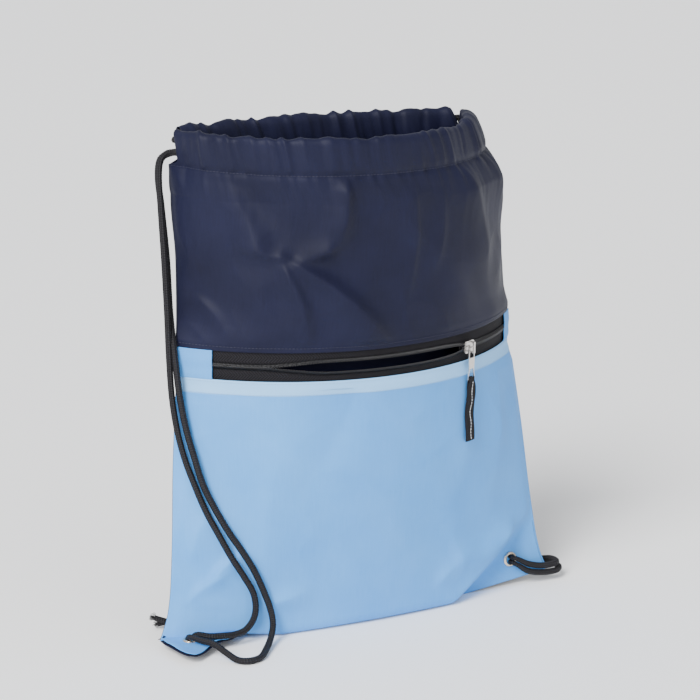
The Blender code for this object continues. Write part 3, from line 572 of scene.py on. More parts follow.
def pocketFront():
    across = np.linspace(-1, 1, walls["columns"])
    edge = zipper["z"] - zipper["hem"]
    length = edge + 0.028
    alongs = np.concatenate([np.linspace(0, 0.05, 44), np.linspace(0.05, length - 0.0005, 170)[1:]])
    rows = [foldedPoints("front", across, a, edge - 0.0005, length - 0.0005) for a in alongs]
    hem = ((0.0005, edge), (walls["hemBack"], edge - 0.001), (walls["hemBack"], edge - 0.008))
    rows += [wallPoints("front", across, np.full_like(across, z), inset) for inset, z in hem]
    grid = np.array(rows)
    u, v = arcLengths(grid)
    z = grid[..., 2]
    standing = smoothStep(0.030, 0.058, v)
    relief = 1.9 * foldLines(grid[..., 0], z, skyFolds) + crumple(u, z, 0.0012, 31)
    hemLine = edge - 0.0125
    # the cloth hangs over the flap at the left corner
    overhang = np.exp(-((z - 0.026) / 0.011) ** 2) * smoothStep(-0.128, -0.150, grid[..., 0])
    relief = relief + 0.0062 * overhang * smoothStep(0.012, 0.024, z)
    relief = relief * standing * seamCalm(grid, None, edge)
    relief = relief + 0.00035 * smoothStep(hemLine - 0.0006, hemLine + 0.0006, z) * (v > 0.1)
    hemRows = len(hem)
    relief[-hemRows:] = relief[-hemRows - 1]
    normal = outwards(grid)
    normal[-hemRows:] = normal[-hemRows - 1]
    made = grid + normal * relief[..., None]
    doubled = 0.62 * smoothStep(hemLine - 0.0005, hemLine + 0.0005, z) * (v > 0.1)
    return gridObject("pocketFrontPanel", made, skyCloth, bag["cloth"], doubled=doubled), made


def pocketBack():
    across = np.linspace(-1, 1, 160)
    top = zipper["z"] + 0.030
    length = top + 0.020
    rows = [foldedPoints("lining", across, a, top, length) for a in np.linspace(0, length, 150)]
    grid = np.array(rows)
    u, v = arcLengths(grid)
    z = grid[..., 2]
    relief = crumple(u, z, 0.0005, 41) * smoothStep(0.03, 0.06, v) * seamCalm(grid, None, zipper["z"] - 0.016)
    made = grid + outwards(grid) * relief[..., None]
    return gridObject("pocketBackPanel", made, navyCloth, bag["cloth"])


def backWall():
    across = np.linspace(-1, 1, walls["columns"])
    top = bag["channelBottom"]
    length = top + 0.066
    alongs = np.concatenate([np.linspace(0, 0.085, 60), np.linspace(0.085, length, 190)[1:]])
    rows = [foldedPoints("back", across, a, top, length) for a in alongs]
    grid = np.concatenate([np.array(rows), rimGrid("back", across)])
    u, v = arcLengths(grid)
    z = grid[..., 2]
    body = smoothStep(top + 0.002, top - 0.012, z) * smoothStep(0.065, 0.10, v)
    relief = (foldLines(grid[..., 0], z, backFolds) + crumple(u, z, 0.0010, 51)) * seamCalm(grid) * body
    relief = relief + rimRelief(grid, 61) * smoothStep(0.2, 0.25, z)
    made = grid - outwards(grid) * relief[..., None]
    return gridObject("backPanel", made, navyCloth, bag["cloth"], flip=True), made


frontPanel, frontGrid = frontUpper()
attach(frontPanel, "navy_polyester", "front_upper_panel", "front_channel")
skyPanel, skyGrid = pocketFront()
attach(skyPanel, "sky_polyester", "pocket_front_panel")
liningPanel = pocketBack()
attach(liningPanel, "navy_polyester", "pocket_back_panel")
backPanel, backGrid = backWall()
attach(backPanel, "navy_polyester", "back_panel", "back_channel")
print("walls ready")


# Bottom corner where the seam lies forward as a flat two-layer flap

corner = {
    "outer": ((-0.1955, -0.0165), (-0.1950, -0.0280), (-0.1925, -0.0400), (-0.1885, -0.0545),
              (-0.1830, -0.0590), (-0.1770, -0.0560), (-0.1690, -0.0500), (-0.1610, -0.0450),
              (-0.1500, -0.0405), (-0.1400, -0.0365), (-0.1300, -0.0310)),
    "inner": ((-0.1860, -0.0100), (-0.1300, -0.0200)),
    "top": 0.0090, "bottom": 0.0072, "eyelet": (-0.1745, -0.0285), "hole": 0.0050,
}


def distances(line):
    return np.concatenate([[0], np.cumsum(np.linalg.norm(np.diff(line, axis=0), axis=1))])


def smoothLine(points, count):
    route = np.array(points, float)
    gaps = distances(route)
    at = np.linspace(0, gaps[-1], count)
    return np.stack([smoothTable(list(zip(gaps, route[:, i])), at) for i in range(route.shape[1])], -1)


def cornerFlap(name, height, skin, grow, seed):
    eyeX, eyeY = corner["eyelet"]
    outer = smoothLine(corner["outer"], 90)
    inner = smoothLine(corner["inner"], 90)
    middle = outer.mean(0)
    outer = outer + (outer - middle) / np.linalg.norm(outer - middle, axis=1, keepdims=True) * grow
    shares = np.linspace(0, 1, 40)
    plan = inner[None] + (outer - inner)[None] * shares[:, None, None]
    x, y = plan[..., 0], plan[..., 1]
    wave = 0.0008 * latticeNoise(x / 0.013, y / 0.011, seed)
    wave = wave + 0.0010 * shares[:, None] ** 3 * np.sin(x / 0.0052)
    wave = wave * smoothStep(0.007, 0.014, np.hypot(x - eyeX, y - eyeY))
    ease = smoothStep(0.0, 0.35, shares)[:, None]
    grid = np.stack([x, y, height + wave * ease], -1)
    made = gridObject(name, grid, skin, bag["cloth"])
    build = bmesh.new()
    build.from_mesh(made.data)
    eye = Vector((eyeX, eyeY))
    gone = [f for f in build.faces if (f.calc_center_median().xy - eye).length < corner["hole"]]
    bmesh.ops.delete(build, geom=gone, context="FACES")
    bmesh.ops.recalc_face_normals(build, faces=build.faces)
    if sum(f.normal.z for f in build.faces) < 0:
        bmesh.ops.reverse_faces(build, faces=build.faces)
    build.to_mesh(made.data)
    build.free()
    return made


attach(cornerFlap("cornerFlapSky", corner["top"], skyCloth, 0.0, 71), "sky_polyester")
attach(cornerFlap("cornerFlapNavy", corner["bottom"], navyCloth, 0.0016, 72), "navy_polyester")


# Zip

def zipArc():
    return Arc("front", zipper["z"])


def mouthHalf(x):
    behind = np.maximum(zipper["sliderX"] - x, 0)
    before = np.maximum(x - zipper["mouthX"], 0)
    return 0.0002 + zipper["openHalf"] * (1 - np.exp(-behind / 0.0125)) * smoothStep(0, 0.060, before)


def zipGrid(x, profile):
    # profile holds (out, up) for each row: out from the wall's face and up from the middle line
    arc = zipArc()
    across = arc.acrossOf(x)
    rows = []
    for out, up in profile:
        px, py = arc.at(across, -out)
        rows.append(np.stack([px, py, zipper["z"] + up + 0 * x], -1))
    return np.array(rows)


def zipTape(side):
    # the woven tape, bent forward a little where the coil is sewn on
    x = np.linspace(*zipper["tapeX"], 260)
    near = mouthHalf(x) + 0.0010
    wide = zipper["tapeOut"] - near
    grid = zipGrid(x, [(zipper["face"] + 0.0003 * (1 - s) ** 3, side * (near + wide * s))
                       for s in np.linspace(0, 1, 12)])
    u = arcLengths(grid)[0]
    uv = np.stack([u, grid[..., 2] - zipper["z"]], -1)
    name = "zipTapeUpper" if side > 0 else "zipTapeLower"
    return gridObject(name, grid, blackTape, bag["cloth"], flip=side < 0, uv=uv)


def routeCurve(name, lines):
    curve = bpy.data.curves.new(name, "CURVE")
    curve.dimensions = "3D"
    for line in lines:
        spline = curve.splines.new("POLY")
        spline.points.add(len(line) - 1)
        spline.points.foreach_set("co", np.c_[line, np.ones(len(line))].astype(np.float32).ravel())
    return addObject(name, curve)


def repeatTree(name):
    # places a shape along a curve at an even pitch, with its local X along the curve
    tree = bpy.data.node_groups.new(name, "GeometryNodeTree")
    for socket, kind in (("Geometry", "Geometry"), ("Shape", "Object"), ("Pitch", "Float"),
                         ("Jitter", "Float"), ("Seed", "Int"), ("Skin", "Material")):
        tree.interface.new_socket(socket, in_out="INPUT", socket_type="NodeSocket" + kind)
    tree.interface.new_socket("Geometry", in_out="OUTPUT", socket_type="NodeSocketGeometry")
    given = tree.nodes.new("NodeGroupInput")
    result = tree.nodes.new("NodeGroupOutput")
    points = addNode(tree, "GeometryNodeCurveToPoints", {"mode": "LENGTH"}, links={
        "Curve": given.outputs["Geometry"], "Length": given.outputs["Pitch"]})
    shape = addNode(tree, "GeometryNodeObjectInfo", links={"Object": given.outputs["Shape"]})
    turn = addNode(tree, "FunctionNodeAlignRotationToVector", {"axis": "X"},
                   links={"Vector": points.outputs["Tangent"]})
    upright = addNode(tree, "FunctionNodeAlignRotationToVector", {"axis": "Z", "pivot_axis": "X"},
                      {"Vector": (0, 0, 1)}, {"Rotation": turn.outputs["Rotation"]})
    low = mathNode(tree, "SUBTRACT", 1.0, given.outputs["Jitter"])
    high = mathNode(tree, "ADD", 1.0, given.outputs["Jitter"])
    sway = addNode(tree, "FunctionNodeRandomValue", {"data_type": "FLOAT_VECTOR"},
                   links={"Seed": given.outputs["Seed"], "Min": low, "Max": high})
    placed = addNode(tree, "GeometryNodeInstanceOnPoints", links={
        "Points": points.outputs["Points"], "Instance": shape.outputs["Geometry"],
        "Rotation": upright.outputs["Rotation"], "Scale": sway.outputs["Value"]})
    real = addNode(tree, "GeometryNodeRealizeInstances", links={"Geometry": placed.outputs["Instances"]})
    skinned = addNode(tree, "GeometryNodeSetMaterial", links={
        "Geometry": real.outputs["Geometry"], "Material": given.outputs["Skin"]})
    tree.links.new(skinned.outputs["Geometry"], result.inputs["Geometry"])
    return tree


repeated = repeatTree("repeatAlongRoute")


def alongRoute(name, lines, shape, pitch, skin, jitter=0.0, seed=1):
    route = routeCurve(name + "Route", lines)
    step = route.modifiers.new("repeat", "NODES")
    step.node_group = repeated
    given = {"Shape": shape, "Pitch": pitch, "Jitter": jitter, "Seed": seed, "Skin": skin}
    for item in repeated.interface.items_tree:
        if item.in_out == "INPUT" and item.name in given:
            step[item.identifier] = given[item.name]
    graph = bpy.context.evaluated_depsgraph_get()
    mesh = bpy.data.meshes.new_from_object(route.evaluated_get(graph))
    bpy.data.objects.remove(route, do_unlink=True)
    mesh.name = name
    mesh.shade_smooth()
    return addObject(name, mesh)


def helperShape(name, build):
    bmesh.ops.recalc_face_normals(build, faces=build.faces)
    mesh = bpy.data.meshes.new(name)
    build.to_mesh(mesh)
    build.free()
    mesh.shade_smooth()
    made = addObject(name, mesh)
    made.hide_render = True
    return made


def bridgeRings(build, rings):
    # faces from each ring to the next, and a cap at both ends
    made = [[build.verts.new(p) for p in ring] for ring in rings]
    for first, second in zip(made, made[1:]):
        for i in range(len(first)):
            k = (i + 1) % len(first)
            build.faces.new((first[i], first[k], second[k], second[i]))
    build.faces.new(made[0][::-1])
    build.faces.new(made[-1])


def tubeRings(line, radius, sides, factors=None, relief=None):
    # rings round a line, carried along without twist
    line = np.asarray(line, float)
    tangent = np.gradient(line, axis=0)
    tangent /= np.linalg.norm(tangent, axis=1, keepdims=True)
    side = np.cross(tangent[0], (0, 0, 1.0) if abs(tangent[0][2]) < 0.9 else (1.0, 0, 0))
    side /= np.linalg.norm(side)
    turns = np.arange(sides) * 2 * math.pi / sides
    rings = []
    for i, t in enumerate(tangent):
        side = side - t * (side @ t)
        side /= np.linalg.norm(side)
        other = np.cross(t, side)
        size = radius * (1 if factors is None else factors[i])
        size = size * (np.ones(sides) if relief is None else relief[i])
        spokes = np.cos(turns)[:, None] * side + np.sin(turns)[:, None] * other
        rings.append(line[i] + size[:, None] * spokes)
    return np.array(rings)


def tubeObject(name, line, radius, sides, skin, factors=None, relief=None):
    rings = tubeRings(line, radius, sides, factors, relief)
    count = len(rings)
    gaps = distances(line)
    girth = 4 * braid["pitch"]
    faces, uvs = [], []
    for i in range(count - 1):
        for j in range(sides):
            k = (j + 1) % sides
            faces.append((i * sides + j, i * sides + k, (i + 1) * sides + k, (i + 1) * sides + j))
            a, b = j / sides * girth, (j + 1) / sides * girth
            uvs += [(gaps[i], a), (gaps[i], b), (gaps[i + 1], b), (gaps[i + 1], a)]
    ends = [tuple(range(sides))[::-1], tuple(range((count - 1) * sides, count * sides))]
    for ring in ends:
        faces.append(ring)
        uvs += [(gaps[0], 0)] * sides
    made = meshObject(name, rings.reshape(-1, 3), faces, skin)
    layer = made.data.uv_layers.new(name="cloth")
    layer.data.foreach_set("uv", np.array(uvs, np.float32).ravel())
    return made


def coilTooth(side):
    # one turn of the sewn coil: the head towards the middle and two legs back over the tape
    # drawn a third coarser than a real coil, whose turns would be too fine to tell apart
    leg = [(0.00045, 0.0002, 0.0007), (0.00055, 0.0010, 0.0003), (0.00058, 0.0032, -0.0003)]
    route = [(-x, y, z) for x, y, z in leg[::-1]] + [(0, 0, 0.0009)] + leg
    build = bmesh.new()
    bridgeRings(build, tubeRings([(x, -z, side * y) for x, y, z in route], 0.00042, 6))
    return helperShape("coilTooth" + ("Upper" if side > 0 else "Lower"), build)


def teethRow(side):
    arc = zipArc()
    offset = 0 if side > 0 else zipper["pitch"] / 2
    x = np.linspace(zipper["teethX"][0] + offset, zipper["teethX"][1], 900)
    half = mouthHalf(x) - 0.0005
    px, py = arc.at(arc.acrossOf(x), 0.0006)
    line = np.stack([px, py, zipper["z"] + side * half], -1)
    word = "Upper" if side > 0 else "Lower"
    return alongRoute(f"zipTeeth{word}", [line], coilTooth(side), zipper["pitch"], coilSkin)


for side, word in ((1, "upper"), (-1, "lower")):
    attach(zipTape(side), "black_webbing", f"zip_tape_{word}")
    attach(teethRow(side), "nylon_coil", f"zip_teeth_{word}")


endTabs = {"left": (-0.1640, -0.1418), "right": (0.1500, 0.1640), "under": -0.0007}


def endTab(side):
    # a folded piece of pocket cloth that covers the end of the tape
    half = zipper["hem"] + 0.0004
    ups = np.linspace(-half, half, 34)
    swell = 0.0006 - 0.0004 * np.abs(ups / half) ** 4 + 0.0002 * np.sin(ups / 0.0021)
    profile = [(endTabs["under"], ups[0]), *zip(swell, ups), (endTabs["under"], ups[-1])]
    grid = zipGrid(np.linspace(*endTabs[side], 24), profile)
    return gridObject(f"zipEndTab{side.title()}", grid, skyCloth, bag["cloth"])


for side in ("left", "right"):
    attach(endTab(side), "sky_polyester", f"zip_end_tab_{side}")
print("zip ready")


# Stitches

def stitchShape(name, long, thick):
    build = bmesh.new()
    xs = [-0.5, -0.38, -0.12, 0.12, 0.38, 0.5]
    sizes = [0.25, 0.8, 1.0, 1.0, 0.8, 0.25]
    turns = [2 * math.pi * i / 5 for i in range(5)]
    bridgeRings(build, [[(x * long, thick * s * math.cos(a), thick * s * math.sin(a)) for a in turns]
                        for x, s in zip(xs, sizes)])
    return helperShape(name, build)


stitch = {"long": 0.0022, "pitch": 0.0031, "thick": 0.00026}
stitchModel = stitchShape("stitchModel", stitch["long"], stitch["thick"])


def rowLine(grid, z, lift=0.0002, share=(0.01, 0.99), flip=False):
    # a line at height z on the displaced cloth
    normal = outwards(grid) * (-1 if flip else 1)
    columns = range(int(share[0] * grid.shape[1]), int(share[1] * grid.shape[1]))
    line = []
    for j in columns:
        heights = grid[:, j, 2]
        rising = np.argmax(heights)
        k = int(np.clip(np.searchsorted(heights[6:rising], z) + 6, 7, rising - 1))
        t = np.clip((z - heights[k - 1]) / max(heights[k] - heights[k - 1], 1e-9), 0, 1)
        line.append(grid[k - 1, j] * (1 - t) + grid[k, j] * t + normal[k, j] * lift)
    return np.array(line)


upperEdge, lowerEdge = zipper["z"] + zipper["hem"], zipper["z"] - zipper["hem"]
navyLines = [rowLine(frontGrid, bag["channelBottom"]), rowLine(backGrid, bag["channelBottom"], flip=True),
             rowLine(frontGrid, upperEdge + 0.0018)]
skyLines = [rowLine(skyGrid, lowerEdge - 0.0018), rowLine(skyGrid, lowerEdge - 0.0120)]
navyRows = alongRoute("navyStitches", navyLines, stitchModel, stitch["pitch"], navyThread, 0.12, 3)
attach(navyRows, "navy_polyester")
skyRows = alongRoute("skyStitches", skyLines, stitchModel, stitch["pitch"], skyThread, 0.12, 4)
attach(skyRows, "sky_polyester")


# Cords

leftInner = (
    (-0.1690, 0.0058, 0.0046, 0.85), (-0.1705, -0.0100, 0.0031, 0.85), (-0.1720, -0.0230, 0.0026, 0.74),
    (-0.1722, -0.0275, 0.0040, 0.72), (-0.1722, -0.0286, 0.0076, 0.72), (-0.1722, -0.0288, 0.0115, 0.72),
    (-0.1690, -0.0315, 0.0140, 0.85), (-0.1610, -0.0385, 0.0135), (-0.1480, -0.0405, 0.0125),
    (-0.1370, -0.0395, 0.0115), (-0.1270, -0.0385, 0.0135), (-0.1200, -0.0388, 0.0215),
    (-0.1175, -0.0388, 0.0320), (-0.1194, -0.0378, 0.0460), (-0.1268, -0.0352, 0.0610),
    (-0.1365, -0.0310, 0.0785), (-0.1460, -0.0252, 0.0990), (-0.1547, -0.0185, 0.1190),
    (-0.1620, -0.0110, 0.1420), (-0.1680, -0.0035, 0.1650), (-0.1712, 0.0040, 0.1880),
    (-0.1727, 0.0110, 0.2150), (-0.1722, 0.0175, 0.2480), (-0.1716, 0.0220, 0.2850),
    (-0.1712, 0.0280, 0.3300), (-0.1712, 0.0345, 0.3750), (-0.1708, 0.0385, 0.4020),
    (-0.1670, 0.0430, 0.4140), (-0.1600, 0.0455, 0.4185), (-0.1548, 0.0428, 0.4195),
)
leftOuter = (
    (-0.1755, 0.0058, 0.0046, 0.85), (-0.1762, -0.0100, 0.0031, 0.85), (-0.1768, -0.0230, 0.0026, 0.74),
    (-0.1768, -0.0275, 0.0040, 0.72), (-0.1768, -0.0286, 0.0076, 0.72), (-0.1768, -0.0288, 0.0115, 0.72),
    (-0.1770, -0.0345, 0.0140, 0.85), (-0.1700, -0.0460, 0.0135), (-0.1640, -0.0545, 0.0130),
    (-0.1575, -0.0650, 0.0080), (-0.1510, -0.0745, 0.0036), (-0.1430, -0.0800, 0.0032),
    (-0.1310, -0.0775, 0.0032), (-0.1190, -0.0640, 0.0040), (-0.1080, -0.0500, 0.0080),
    (-0.1035, -0.0440, 0.0160), (-0.1042, -0.0420, 0.0270), (-0.1097, -0.0398, 0.0450),
    (-0.1182, -0.0370, 0.0660), (-0.1272, -0.0332, 0.0830), (-0.1378, -0.0280, 0.1010),
    (-0.1487, -0.0212, 0.1235), (-0.1560, -0.0150, 0.1430), (-0.1610, -0.0085, 0.1660),
    (-0.1648, -0.0015, 0.1880), (-0.1672, 0.0065, 0.2150), (-0.1678, 0.0150, 0.2480),
    (-0.1672, 0.0262, 0.2850), (-0.1670, 0.0325, 0.3300), (-0.1684, 0.0398, 0.3750),
    (-0.1690, 0.0450, 0.4020), (-0.1640, 0.0482, 0.4150),
)
rightInner = (
    (0.1560, 0.0030, 0.0215, 0.80), (0.1545, -0.0035, 0.0255, 0.72), (0.1540, -0.0060, 0.0261, 0.72),
    (0.1540, -0.0104, 0.0268, 0.72), (0.1540, -0.0150, 0.0275, 0.72), (0.1580, -0.0182, 0.0265, 0.80),
    (0.1700, -0.0190, 0.0200), (0.1850, -0.0190, 0.0160), (0.1990, -0.0190, 0.0160),
    (0.2040, -0.0130, 0.0160), (0.2030, -0.0030, 0.0150), (0.1960, 0.0140, 0.0095), (0.1880, 0.0330, 0.0036),
    (0.1750, 0.0450, 0.0036), (0.1610, 0.0480, 0.0060), (0.1540, 0.0430, 0.0180), (0.1520, 0.0350, 0.0450),
    (0.1520, 0.0300, 0.0900), (0.1530, 0.0300, 0.1500), (0.1530, 0.0330, 0.2100), (0.1520, 0.0390, 0.2700),
    (0.1500, 0.0470, 0.3300), (0.1500, 0.0535, 0.3800), (0.1450, 0.0570, 0.4100), (0.1400, 0.0550, 0.4240),
    (0.1320, 0.0490, 0.4300),
)
rightOuter = (
    (0.1590, 0.0035, 0.0165, 0.80), (0.1555, -0.0035, 0.0205, 0.72), (0.1540, -0.0060, 0.0216, 0.72),
    (0.1540, -0.0104, 0.0223, 0.72), (0.1540, -0.0150, 0.0229, 0.72), (0.1600, -0.0182, 0.0195, 0.80),
    (0.1700, -0.0195, 0.0130), (0.1850, -0.0195, 0.0095), (0.2000, -0.0195, 0.0090),
    (0.2075, -0.0130, 0.0092), (0.2090, -0.0030, 0.0085), (0.2045, 0.0170, 0.0055), (0.1970, 0.0380, 0.0036),
    (0.1810, 0.0530, 0.0036), (0.1610, 0.0570, 0.0060), (0.1490, 0.0500, 0.0180), (0.1455, 0.0400, 0.0450),
    (0.1450, 0.0345, 0.0900), (0.1460, 0.0345, 0.1500), (0.1460, 0.0380, 0.2100), (0.1450, 0.0445, 0.2700),
    (0.1435, 0.0525, 0.3300), (0.1430, 0.0595, 0.3800), (0.1380, 0.0625, 0.4100), (0.1330, 0.0600, 0.4240),
    (0.1260, 0.0510, 0.4300),
)
channelCord = {"front": (-0.945, 0.945), "back": (-0.915, 0.915), "left": 0.4195, "right": 0.4305}


def channelLine(wall, z, start, end, count):
    arc = Arc(wall, z)
    stops = [start + (end - start) * i / count for i in range(count + 1)]
    return [(*[float(c) for c in arc.at(s, bag["channelDeep"] / 2)], z) for s in stops]


def cordRoute(side):
    z = channelCord[side]
    sign = -1 if side == "right" else 1
    (f0, f1), (b0, b1) = channelCord["front"], channelCord["back"]
    arc = Arc("front", z)
    turn = (float(arc.at(0.999 * sign, 0.0052)[0]), float(arc.chordY) - 0.0062, z)
    back = channelLine("back", z, b0, b1, 12)
    if side == "left":
        front = channelLine("front", z, f0 + 0.02, f1, 20)
        return leftInner + tuple(front) + (turn,) + tuple(back[::-1]) + leftOuter[::-1]
    front = channelLine("front", z, f0, f1, 20)
    return rightInner + tuple(front[::-1]) + (turn,) + tuple(back) + rightOuter[::-1]


def smoothRoute(points, step):
    # points close together on a smooth curve through the route, and the radius factor at each
    places = np.array([p[:3] for p in points], float)
    factors = np.array([p[3] if len(p) > 3 else 1.0 for p in points])
    dense, sizes = [], []
    for i in range(len(places) - 1):
        a, b = places[i], places[i + 1]
        before = places[i - 1] if i else a
        after = places[i + 2] if i + 2 < len(places) else b
        length = np.linalg.norm(b - a)
        slopeA = (b - before) / max(length + np.linalg.norm(a - before), 1e-9) * length
        slopeB = (after - a) / max(np.linalg.norm(after - b) + length, 1e-9) * length
        count = max(round(length / step), 1)
        for k in range(count):
            t = k / count
            dense.append(a * (1 + 2 * t) * (1 - t) ** 2 + b * t * t * (3 - 2 * t)
                         + slopeA * t * (1 - t) ** 2 - slopeB * t * t * (1 - t))
            sizes.append(factors[i] + (factors[i + 1] - factors[i]) * t)
    return np.array(dense + [places[-1]]), np.array(sizes + [factors[-1]])


def braidRelief(line, sides):
    gaps = distances(line)
    around = np.arange(sides) / sides * 4 * braid["pitch"]
    wave = 2 * math.pi / braid["pitch"]
    left = np.sin((gaps[:, None] + around[None]) * wave)
    right = np.sin((gaps[:, None] - around[None]) * wave)
    return 1 + braid["relief"] * left * right


knots = {
    "left": {"centre": (-0.1722, 0.0150, 0.0082), "seed": 100,
             "tails": (((-0.0030, 0.0010, 0.0010), (-0.0150, 0.0070, 0.0050)),
                       ((-0.0010, 0.0040, 0.0), (-0.0095, 0.0125, -0.0035)))},
    "right": {"centre": (0.1560, 0.0115, 0.0165), "seed": 110,
              "tails": (((0.0030, 0.0040, 0.0010), (0.0110, 0.0105, 0.0050)),
                        ((0.0030, 0.0030, -0.0020), (0.0120, 0.0065, -0.0080)))},
}
tail = {"radius": 0.0024, "sides": 14}


def knotPiece(side):
    # an overhand knot: three lobes wound over one another
    turns = np.linspace(0, 2 * math.pi, 150)
    line = 0.00185 * np.stack([np.sin(turns) + 2 * np.sin(2 * turns), np.cos(turns) - 2 * np.cos(2 * turns),
                               -1.2 * np.sin(3 * turns)], -1) + np.array(knots[side]["centre"])
    made = tubeObject(f"cordKnot{side.title()}", line, tail["radius"], tail["sides"], cordSkin,
                      relief=braidRelief(line, tail["sides"]))
    attach(made, "black_cord", f"cord_knot_{side}")
    return made


def tailPiece(side, index):
    # a cut end that has frayed into its strands
    start, end = [np.array(knots[side]["centre"]) + np.array(p) for p in knots[side]["tails"][index]]
    line = start + (end - start) * np.linspace(0, 1, 14)[:, None]
    body = tubeObject(f"cordEnd{side.title()}{index + 1}", line, tail["radius"], tail["sides"], cordSkin,
                      relief=braidRelief(line, tail["sides"]))
    attach(body, "black_cord")
    random = np.random.default_rng(knots[side]["seed"] + index)
    way = (end - start) / np.linalg.norm(end - start)
    fibres = bmesh.new()
    for _ in range(46):
        spread = random.normal(0, 1, 3)
        spread -= way * (spread @ way)
        root = end - way * 0.0008 + spread * 0.0009
        tip = root + way * random.uniform(0.002, 0.0055) + spread * random.uniform(0.0003, 0.0012)
        tip[2] = max(tip[2], 0.0008)
        middle = (root + tip) / 2 + random.normal(0, 0.0004, 3)
        bridgeRings(fibres, tubeRings([root, middle, tip], 0.00017, 4))
    bmesh.ops.recalc_face_normals(fibres, faces=fibres.faces)
    mesh = bpy.data.meshes.new(f"frayed{side.title()}{index + 1}")
    fibres.to_mesh(mesh)
    fibres.free()
    mesh.materials.append(blackThread)
    fray = addObject(mesh.name, mesh)
    attach(fray, "black_cord")
    return [body, fray]


for side in ("left", "right"):
    line, sizes = smoothRoute(cordRoute(side), braid["step"])
    piece = tubeObject(f"drawcord{side.title()}", line, braid["radius"], braid["sides"], cordSkin, sizes,
                       braidRelief(line, braid["sides"]))
    attach(piece, "black_cord", f"drawcord_{side}")
    onIt = [knotPiece(side)] + tailPiece(side, 0) + tailPiece(side, 1)
print("cords ready")


# Metal

plated = {
    "slider_body": nickel, "slider_pull": nickel, "eyelet_left": eyeletSkin, "eyelet_left_washer": eyeletSkin,
    "eyelet_right": eyeletSkin, "eyelet_right_washer": eyeletSkin,
}
for name, metal in plated.items():
    slots = frame["nodes"][name].data.materials
    slots.clear()
    slots.append(metal)


# Ribbon on the pull

ribbon = {"wide": 0.0108, "long": 0.0590, "thick": 0.0009, "wave": 0.0013, "steps": 90, "columns": 13,
          "hinge": (0.08812, -0.045153, 0.2147), "stitchPitch": 0.0026}


def pullRibbon():
    low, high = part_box("pull_ribbon")
    arc = zipArc()
    angle = float(arc.acrossOf(zipper["sliderX"]) * arc.reach)
    along = np.array([math.cos(angle), math.sin(angle), 0])
    out = np.array([math.sin(angle), -math.cos(angle), 0])
    loops = []
    count, columns = ribbon["steps"], ribbon["columns"]
    for i in range(count + 1):
        t = i / count
        front = t < 0.5
        down = (t if front else 1 - t) * 2
        z = 0.0022 - down * (ribbon["long"] + 0.0010)
        gap = 0.0010 + 0.0006 * math.exp(-(down * 10) ** 2)
        bend = ribbon["wave"] * math.sin(down * 9.0) * min(down * 3, 1)
        narrow = 0.60 + 0.40 * float(smoothStep(0.04, 0.16, down))
        forward = bend * 0.5 + (gap if front else -gap)
        centre = np.array(ribbon["hinge"]) + out * forward + np.array([0, 0, z])
        loops.append([centre + along * (s * ribbon["wide"] / 2 * narrow + 0.0005 * math.sin(down * 7))
                      for s in np.linspace(-1, 1, columns)])
    grid = np.array(loops)
    grid[..., 2] = np.clip(grid[..., 2], low.z, high.z)
    lengthwise = np.linspace(0, 2 * ribbon["long"], count + 1)
    crosswise = np.linspace(-ribbon["wide"] / 2, ribbon["wide"] / 2, columns)
    uv = np.stack(np.meshgrid(lengthwise, crosswise, indexing="ij"), -1)
    made = gridObject("pullRibbon", grid, blackTape, ribbon["thick"], flip=True, uv=uv)
    line = []
    for k in range(4, count // 2 - 2):
        middle = grid[k, columns // 2] + out * 0.0003
        line.append(middle + along * (0.0007 * math.sin(k * 0.45)))
    rows = alongRoute("ribbonStitches", [np.array(line)], stitchModel, ribbon["stitchPitch"], whiteThread,
                      0.3, 8)
    attach(made, "black_webbing", "pull_ribbon", body="ribbon")
    attach(rows, "black_webbing", body="ribbon")


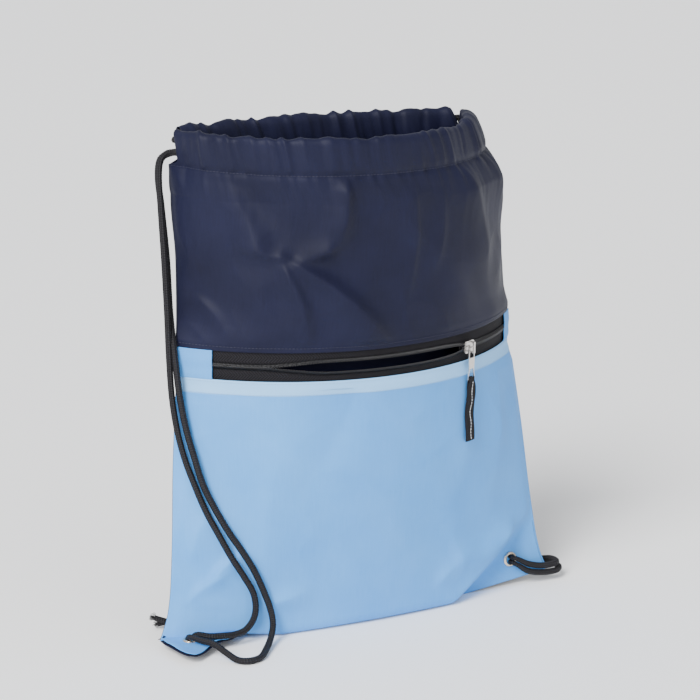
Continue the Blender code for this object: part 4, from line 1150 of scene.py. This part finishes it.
pullRibbon()
for helper in [o for o in bpy.data.objects if o.name.startswith(("coilTooth", "stitchModel"))]:
    bpy.data.objects.remove(helper, do_unlink=True)
print("trim ready")


# Studio

studio = {
    "floor": "#fdfdfd", "reach": 6, "sky": "#f4f6fa", "world": 0.8,
    "lights": (("windowLight", "SUN", (-1.5, -0.9, 1.7), (0, 0, 0), 4.2, 0.45),
               ("keyLight", "AREA", (-1.7, -1.3, 0.9), (0, 0, 0.2), 22, 0.6),
               ("fillLight", "AREA", (0.8, -2.2, 1.0), (0, 0, 0.2), 8, 1.6)),
}
reach = studio["reach"]
mesh = bpy.data.meshes.new("studioFloor")
mesh.from_pydata([(-reach, -reach, 0), (reach, -reach, 0), (reach, reach, 0), (-reach, reach, 0)], [],
                 [(0, 1, 2, 3)])
floorObject = addObject("studioFloor", mesh)
floorSkin = startMaterial("paintedFloor", {"Base Color": linear(studio["floor"]), "Roughness": 0.9})[0]
mesh.materials.append(floorSkin)
world = bpy.data.worlds.new("studioSky")
bpy.context.scene.world = world
world.use_nodes = True
background = world.node_tree.nodes["Background"]
background.inputs["Color"].default_value = linear(studio["sky"])
background.inputs["Strength"].default_value = studio["world"]

for name, kind, place, target, power, spread in studio["lights"]:
    data = bpy.data.lights.new(name, kind)
    data.energy = power
    setattr(data, "angle" if kind == "SUN" else "size", spread)
    lamp = addObject(name, data)
    lamp.location = place
    lamp.rotation_mode = "QUATERNION"
    lamp.rotation_quaternion = (Vector(target) - Vector(place)).to_track_quat("-Z", "Y")

view = {"place": (-0.8631, -1.6718, 0.7405), "yaw": 0.4725, "pitch": 0.2600, "roll": 0.0095, "lens": 114.07}
cameraData = bpy.data.cameras.new("mainCamera")
cameraData.lens = view["lens"]
cameraData.sensor_width = 36
camera = addObject("mainCamera", cameraData)
camera.matrix_world = (Matrix.Translation(view["place"]) @ Matrix.Rotation(-view["yaw"], 4, "Z")
                       @ Matrix.Rotation(math.pi / 2 - view["pitch"], 4, "X")
                       @ Matrix.Rotation(view["roll"], 4, "Z"))
bpy.context.scene.camera = camera
print("studio ready")
